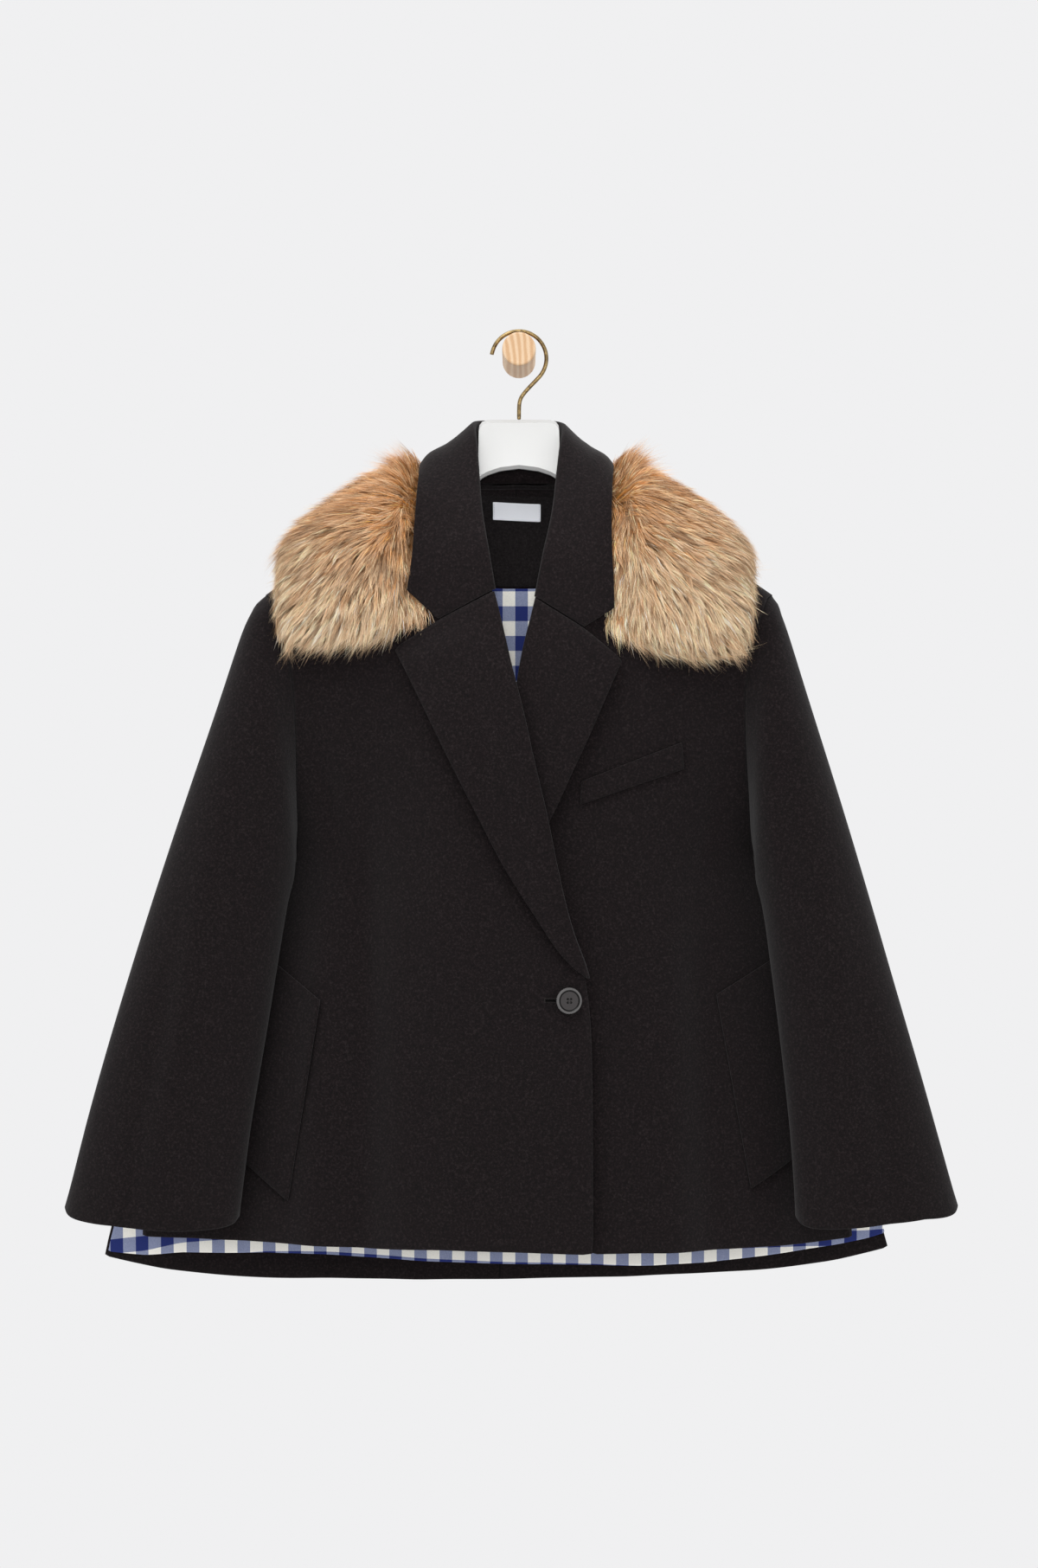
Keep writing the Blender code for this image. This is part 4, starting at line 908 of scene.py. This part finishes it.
# Each strand runs from its root on the pelt to the solid's face, and its tip lies on past that
def growHair(name, keep, seed):
    chance = np.random.default_rng(seed)
    corners = np.array(furPoints)
    faces = [f for f in furOver if keep(corners[f].mean(0))]
    tries = int(fur["strands"] * fur["tries"])
    clumps = fur["clumps"]
    reach, normal = samplesOn(faces, tries, chance)
    reach = spillUnder(cutLower(reach, normal), chance)
    centre, _ = samplesOn(faces, clumps, chance)
    clump = nearestOf(centre, reach)
    turn = chance.normal(0.0, vary["clumpTurn"], clumps)[clump] + chance.normal(0.0, vary["turn"], tries)
    flow = turned(flowAt(reach, normal), normal, turn)
    length = fur["length"] * chance.uniform(*vary["clumpLength"], clumps)[clump]
    length *= chance.uniform(*vary["length"], tries)
    root, back = rootsOf(reach, normal, flow, length)
    lift = chance.uniform(*vary["clumpLift"], clumps)[clump] + chance.normal(0.0, vary["lift"], tries)
    guard = chance.uniform(0.0, 1.0, tries) < fur["guard"]
    lift += np.where(guard, vary["guardLift"], vary["underLift"])
    lift += crownLift(reach, normal)
    lock = chance.uniform(*vary["lock"], clumps)[clump]
    tipRun = length * chance.uniform(*vary["tipRun"], tries) * lock * np.where(guard, vary["guardRun"], 1.0)
    tipRun *= 1.0 + wisps["longer"] * rimShare(reach, normal) * (~guard & (lock > wisps["lock"]))
    tip = reach + flow * tipRun[:, None] + normal * lift[:, None]
    gather = centre[clump] - reach
    apart = np.maximum(np.linalg.norm(gather, axis=1), 1e-6)
    tip += gather * (fur["gather"] * np.minimum(fur["gatherReach"] / apart, 1.0))[:, None]
    bend = reach - flow * back * strand["bendBack"] + normal * strand["bendOut"]
    knots = [root * (1 - t) ** 2 + bend * 2 * t * (1 - t) + tip * t * t for t in strand["knots"]]
    strands = np.stack(knots, 1)
    kept = []
    for i in range(tries):
        if clearOfCollar(strands[i]):
            kept.append(i)
        if len(kept) == fur["strands"]:
            break
    kept = np.array(kept)
    piece = ribbonPiece(name, strands[kept], normal[kept], guard[kept], chance)
    paintHair(piece, reach[kept], clump[kept], guard[kept], chance)
    print(name, len(kept), "strands")
    return piece


# Flat ribbons that end in a point, each leaning a little to one side
def ribbonPiece(name, strands, normal, guard, chance):
    count = len(strands)
    lean = chance.normal(0.0, vary["lean"], count)
    wide = unit(np.cross(strands[:, 3] - strands[:, 0], normal))
    wide = unit(wide * np.cos(lean)[:, None] + normal * np.sin(lean)[:, None])
    width = fur["width"] * np.where(guard, fur["guardWidth"], 1.0)[:, None]
    points = []
    for knot, share in enumerate(strand["widths"]):
        half = wide * width * share / 2
        points += [strands[:, knot] - half, strands[:, knot] + half]
    points.append(strands[:, 3])
    points = np.stack(points, 1).reshape(-1, 3)
    step = 7 * np.arange(count)[:, None]
    quads = np.concatenate([step + np.array([[0, 1, 3, 2]]), step + np.array([[2, 3, 5, 4]])])
    tips = step + np.array([[4, 5, 6]])
    return addPiece(name, points.tolist(), quads.tolist() + tips.tolist(), hair)


# Linear tones of the hair
tones = {
    # The root tone: partly the hair's own darker base, partly painted shade between locks
    "root": np.array([0.20, 0.082, 0.024]),
    "golden": np.array([0.50, 0.192, 0.035]),
    "pale": np.array([0.96, 0.700, 0.455]),
    "dark": np.array([0.20, 0.080, 0.022]),
}
# How the hair pales with its distance from the neck, on the right and the left
paling = {
    "neckX": 0.080, "neckZ": -0.110, "across": 0.7, "over": 0.128, "least": 0.02,
    "mostRight": 0.92, "mostLeft": 0.86, "startRight": 0.040, "startLeft": 0.020,
}
# How far the tone varies in a clump and a strand, what guard and under hair add, and the brightest tone
toneSpread = {
    "clump": 0.20, "strand": 0.20, "guard": 0.22, "under": -0.10, "clumpLight": 0.20, "light": 0.34,
    "most": 0.97,
}
# Dark streaks, partly darker hair and partly painted shade between locks: the share of clumps, how many more
# there are about one height as painted shade of a parting, and how dark they are
darkStreaksAndShade = {"share": 0.16, "more": 0.25, "z": -0.188, "half": 0.030, "shade": (0.3, 0.85)}
# Shares of the root's tone and the strand's own at the first three knots, and how the tip is mixed; the dark
# root tone is partly the hair's own and partly painted shade in the gaps between locks
rootToneAndShadeAlong = [(0.80, 0.20), (0.55, 0.45), (0.0, 0.90)]
tipTone = {"own": 0.50, "pale": 0.50, "shade": 0.5}


# Dark golden at the root and beside the collar, paler towards the tip and the fur's lower edge; the darker
# roots are partly painted shade in the gaps between locks
def paintHair(piece, reach, clump, guard, chance):
    count = len(reach)
    clumps = clump.max() + 1
    onRight = reach[:, 0] < 0
    start = np.where(onRight, paling["startRight"], paling["startLeft"])
    most = np.where(onRight, paling["mostRight"], paling["mostLeft"])
    sideways = (np.abs(reach[:, 0]) - paling["neckX"]) * paling["across"]
    fromNeck = np.hypot(sideways, reach[:, 2] - paling["neckZ"])
    paleness = paling["least"] + most * smoothStep((fromNeck - start) / paling["over"])
    clumpTone = chance.normal(0.0, toneSpread["clump"], clumps)[clump]
    ownTone = chance.normal(0.0, toneSpread["strand"], count)
    paleness += clumpTone + ownTone + np.where(guard, toneSpread["guard"], toneSpread["under"])
    paleness = np.clip(paleness, 0.0, 1.0)[:, None]
    # More painted shade about one height, for a parting in the hair
    about = (reach[:, 2] - darkStreaksAndShade["z"]) / darkStreaksAndShade["half"]
    streakAndShadeChance = np.exp(-(about ** 2)) * darkStreaksAndShade["more"] + darkStreaksAndShade["share"]
    streakedAndShaded = chance.uniform(0.0, 1.0, clumps)[clump] < streakAndShadeChance
    shade = streakedAndShaded[:, None] * chance.uniform(*darkStreaksAndShade["shade"], (count, 1))
    body = tones["golden"] * (1 - paleness) + tones["pale"] * paleness
    body = body * (1 - shade) + tones["dark"] * shade
    body *= np.exp(chance.normal(0.0, toneSpread["clumpLight"], clumps)[clump])[:, None]
    body *= np.exp(chance.normal(0.0, toneSpread["light"], (count, 1)))
    body = np.clip(body, 0.0, toneSpread["most"])
    tip = body * tipTone["own"] + tones["pale"] * tipTone["pale"] * (1 - tipTone["shade"] * shade)
    rows = [tones["root"] * rootAndShadeShare + body * ownShare for rootAndShadeShare, ownShare in rootToneAndShadeAlong]
    rows.append(np.clip(tip, 0.0, toneSpread["most"]))
    colour = np.ones((count, 7, 4))
    for i, knot in enumerate((0, 0, 1, 1, 2, 2, 3)):
        colour[:, i, :3] = rows[knot]
    layer = piece.data.attributes.new("hairTone", "FLOAT_COLOR", "POINT")
    layer.data.foreach_set("color", colour.ravel())


# Where each hair piece grows, and its seed
ridgeY = hangPlane + 0.012
hairParts = [
    ("fur_hair_right", lambda p: p[0] < 0 and p[1] < ridgeY, 11),
    ("fur_hair_left", lambda p: p[0] >= 0 and p[1] < ridgeY, 23),
    ("fur_hair_back_right", lambda p: p[0] < 0 and p[1] >= ridgeY, 37),
    ("fur_hair_back_left", lambda p: p[0] >= 0 and p[1] >= ridgeY, 41),
]
pelt = makePelt()
hairPieces = [growHair(*part) for part in hairParts]
for piece in [pelt] + hairPieces:
    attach(piece, "root")
    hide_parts("fur_collar")
print("fur ready")


# Hard pieces keep their solids, and the hook is made finer.
for node, material in (("hanger", lacquerMaterial()), ("wall_peg", pineMaterial()), ("button", horn)):
    nodes[node].data.materials.clear()
    nodes[node].data.materials.append(material)
hook = finerCopy("hanger_hook", "brass_hook", brassMaterial(), finer["wireCrease"])
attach(hook, "root")
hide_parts("hanger_hook")
print("hard pieces ready")


# Sewing: each stitch is a short round strand between two points, bowed out in the middle.


def addStitches(name, stitches, radius, bow, material):
    curve = bpy.data.curves.new(name, "CURVE")
    curve.dimensions = "3D"
    curve.bevel_depth = radius
    curve.bevel_resolution = 1
    curve.use_fill_caps = True
    for start, end, out in stitches:
        spline = curve.splines.new("POLY")
        spline.points.add(2)
        for knot, place in zip(spline.points, (start, (start + end) / 2 + out * bow, end)):
            knot.co = (*place, 1.0)
    piece = newObject(name, curve)
    bpy.context.view_layer.objects.active = piece
    piece.select_set(True)
    bpy.ops.object.convert(target="MESH")
    piece.select_set(False)
    piece.data.materials.clear()
    piece.data.materials.append(material)
    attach(piece, "root")
    return piece


def onFront(tree, x, z, lift):
    return frontHit(tree, x, z) + towardsViewer * lift


# Buttonhole: a row of stitches above and below the slit, and a bar at its end
buttonhole = {
    "endX": 0.0232, "startX": 0.0400, "z": -0.5757, "slit": 0.0010, "reach": 0.0022, "stitches": 26,
    "lift": 0.0002, "bars": 3, "barStep": 0.0004, "radius": 0.00026, "bow": 0.0004,
}
frontTree = treeOf([made["right_front"]])
rows = []
for i in range(buttonhole["stitches"]):
    share = i / (buttonhole["stitches"] - 1)
    x = buttonhole["endX"] + (buttonhole["startX"] - buttonhole["endX"]) * share
    for side in (-1, 1):
        near = onFront(frontTree, x, buttonhole["z"] + side * buttonhole["slit"], buttonhole["lift"])
        far = onFront(frontTree, x, buttonhole["z"] + side * buttonhole["reach"], 0.0)
        rows.append((near, far, towardsViewer))
for i in range(buttonhole["bars"]):
    x = buttonhole["endX"] - buttonhole["barStep"] * (i + 1)
    low = onFront(frontTree, x, buttonhole["z"] - buttonhole["reach"], 0.0)
    high = onFront(frontTree, x, buttonhole["z"] + buttonhole["reach"], 0.0)
    rows.append((low, high, towardsViewer))
addStitches("buttonhole_stitches", rows, buttonhole["radius"], buttonhole["bow"], buttonholeSilk)
# A black strand along the slit: painted shade in the cut
slitEnds = [onFront(frontTree, buttonhole[end], buttonhole["z"], 0.0) for end in ("endX", "startX")]
addStitches("buttonhole_slit_shade", [(*slitEnds, towardsViewer)], buttonhole["slit"], 0.0, slitShade)

# Button thread: two strands across the four holes of the button
buttonThread = {"half": 0.0013, "lift": 0.0011, "radius": 0.0002, "bow": 0.0002}
rows = []
for side in (-1, 1):
    place = buttonMiddle + Vector((0.0, 0.0, side * buttonThread["half"])) + buttonOut * buttonThread["lift"]
    ends = [place + buttonAcross * end * buttonThread["half"] for end in (-1, 1)]
    rows.append((*ends, buttonOut))
addStitches("button_thread", rows, buttonThread["radius"], buttonThread["bow"], greyThread)

# Label stitches: a short row at each end
labelStitches = {
    "halfWidth": 0.0203, "halfHeight": 0.0060, "count": 7, "long": 0.0012, "radius": 0.00018, "bow": 0.0002,
}
labelTree = treeOf([made["blank_label"]])
corners = pointsOf(made["blank_label"])
middle = (corners.min(0) + corners.max(0)) / 2
rows = []
for side in (-1, 1):
    for i in range(labelStitches["count"]):
        z = middle[2] + labelStitches["halfHeight"] * (2 * i / (labelStitches["count"] - 1) - 1)
        x = middle[0] + side * labelStitches["halfWidth"]
        low = onFront(labelTree, x, z - labelStitches["long"] / 2, 0.0)
        high = onFront(labelTree, x, z + labelStitches["long"] / 2, 0.0)
        rows.append((low, high, towardsViewer))
addStitches("label_stitches", rows, labelStitches["radius"], labelStitches["bow"], labelThread)
print("sewing ready")


# Stage
stage = {"floorZ": -1.27, "floorRadius": 0.60, "cameraY": -3.442, "cameraZ": -0.3865, "lens": 86.3}
bpy.ops.mesh.primitive_cylinder_add(
    vertices=96, radius=stage["floorRadius"], depth=0.02, location=(0.0, -0.1, stage["floorZ"] - 0.01)
)
floor = bpy.context.object
floor.name = "floor"
floor.data.materials.append(newMaterial("pale_floor", colours["floor"], 0.8)[0])

world = bpy.data.worlds.new("studio")
world.use_nodes = True
world.node_tree.nodes["Background"].inputs["Color"].default_value = (*colours["sky"], 1.0)
world.node_tree.nodes["Background"].inputs["Strength"].default_value = 1.0
bpy.context.scene.world = world


def addLamp(name, kind, place, aim, power):
    lamp = bpy.data.lights.new(name, kind)
    lamp.energy = power
    holder = newObject(name, lamp)
    holder.location = place
    holder.rotation_euler = (Vector(aim) - Vector(place)).to_track_quat("-Z", "Y").to_euler()
    return lamp


# Lamps: name, place, size, power
lamps = [
    ("key", (-0.7, -1.5, 2.1), 1.8, 44.0),
    ("fill", (1.9, -2.3, 0.2), 2.2, 8.0),
    ("front", (0.0, -3.2, 0.1), 1.2, 12.0),
    ("back", (0.4, 1.9, 1.2), 1.6, 20.0),
]
coatMiddle = (0.0, -0.1, -0.42)
for name, place, size, power in lamps:
    addLamp(name, "AREA", place, coatMiddle, power).size = size

# A narrow lamp from the front that reaches into the neck
neckLamp = {
    "place": (0.0, -2.6, -0.15), "aim": (0.0, -0.09, -0.185), "wide": math.radians(5.0), "blend": 0.7,
    "radius": 0.12, "power": 155.0,
}
lamp = addLamp("neck", "SPOT", neckLamp["place"], neckLamp["aim"], neckLamp["power"])
lamp.spot_size = neckLamp["wide"]
lamp.spot_blend = neckLamp["blend"]
lamp.shadow_soft_size = neckLamp["radius"]

camera = bpy.data.cameras.new("camera")
camera.lens = stage["lens"]
camera.sensor_width = 36.0
viewer = newObject("camera", camera)
viewer.location = (0.0, stage["cameraY"], stage["cameraZ"])
viewer.rotation_euler = (math.radians(90), 0.0, 0.0)
bpy.context.scene.camera = viewer
bpy.context.scene.view_settings.view_transform = "Standard"
print("stage ready")
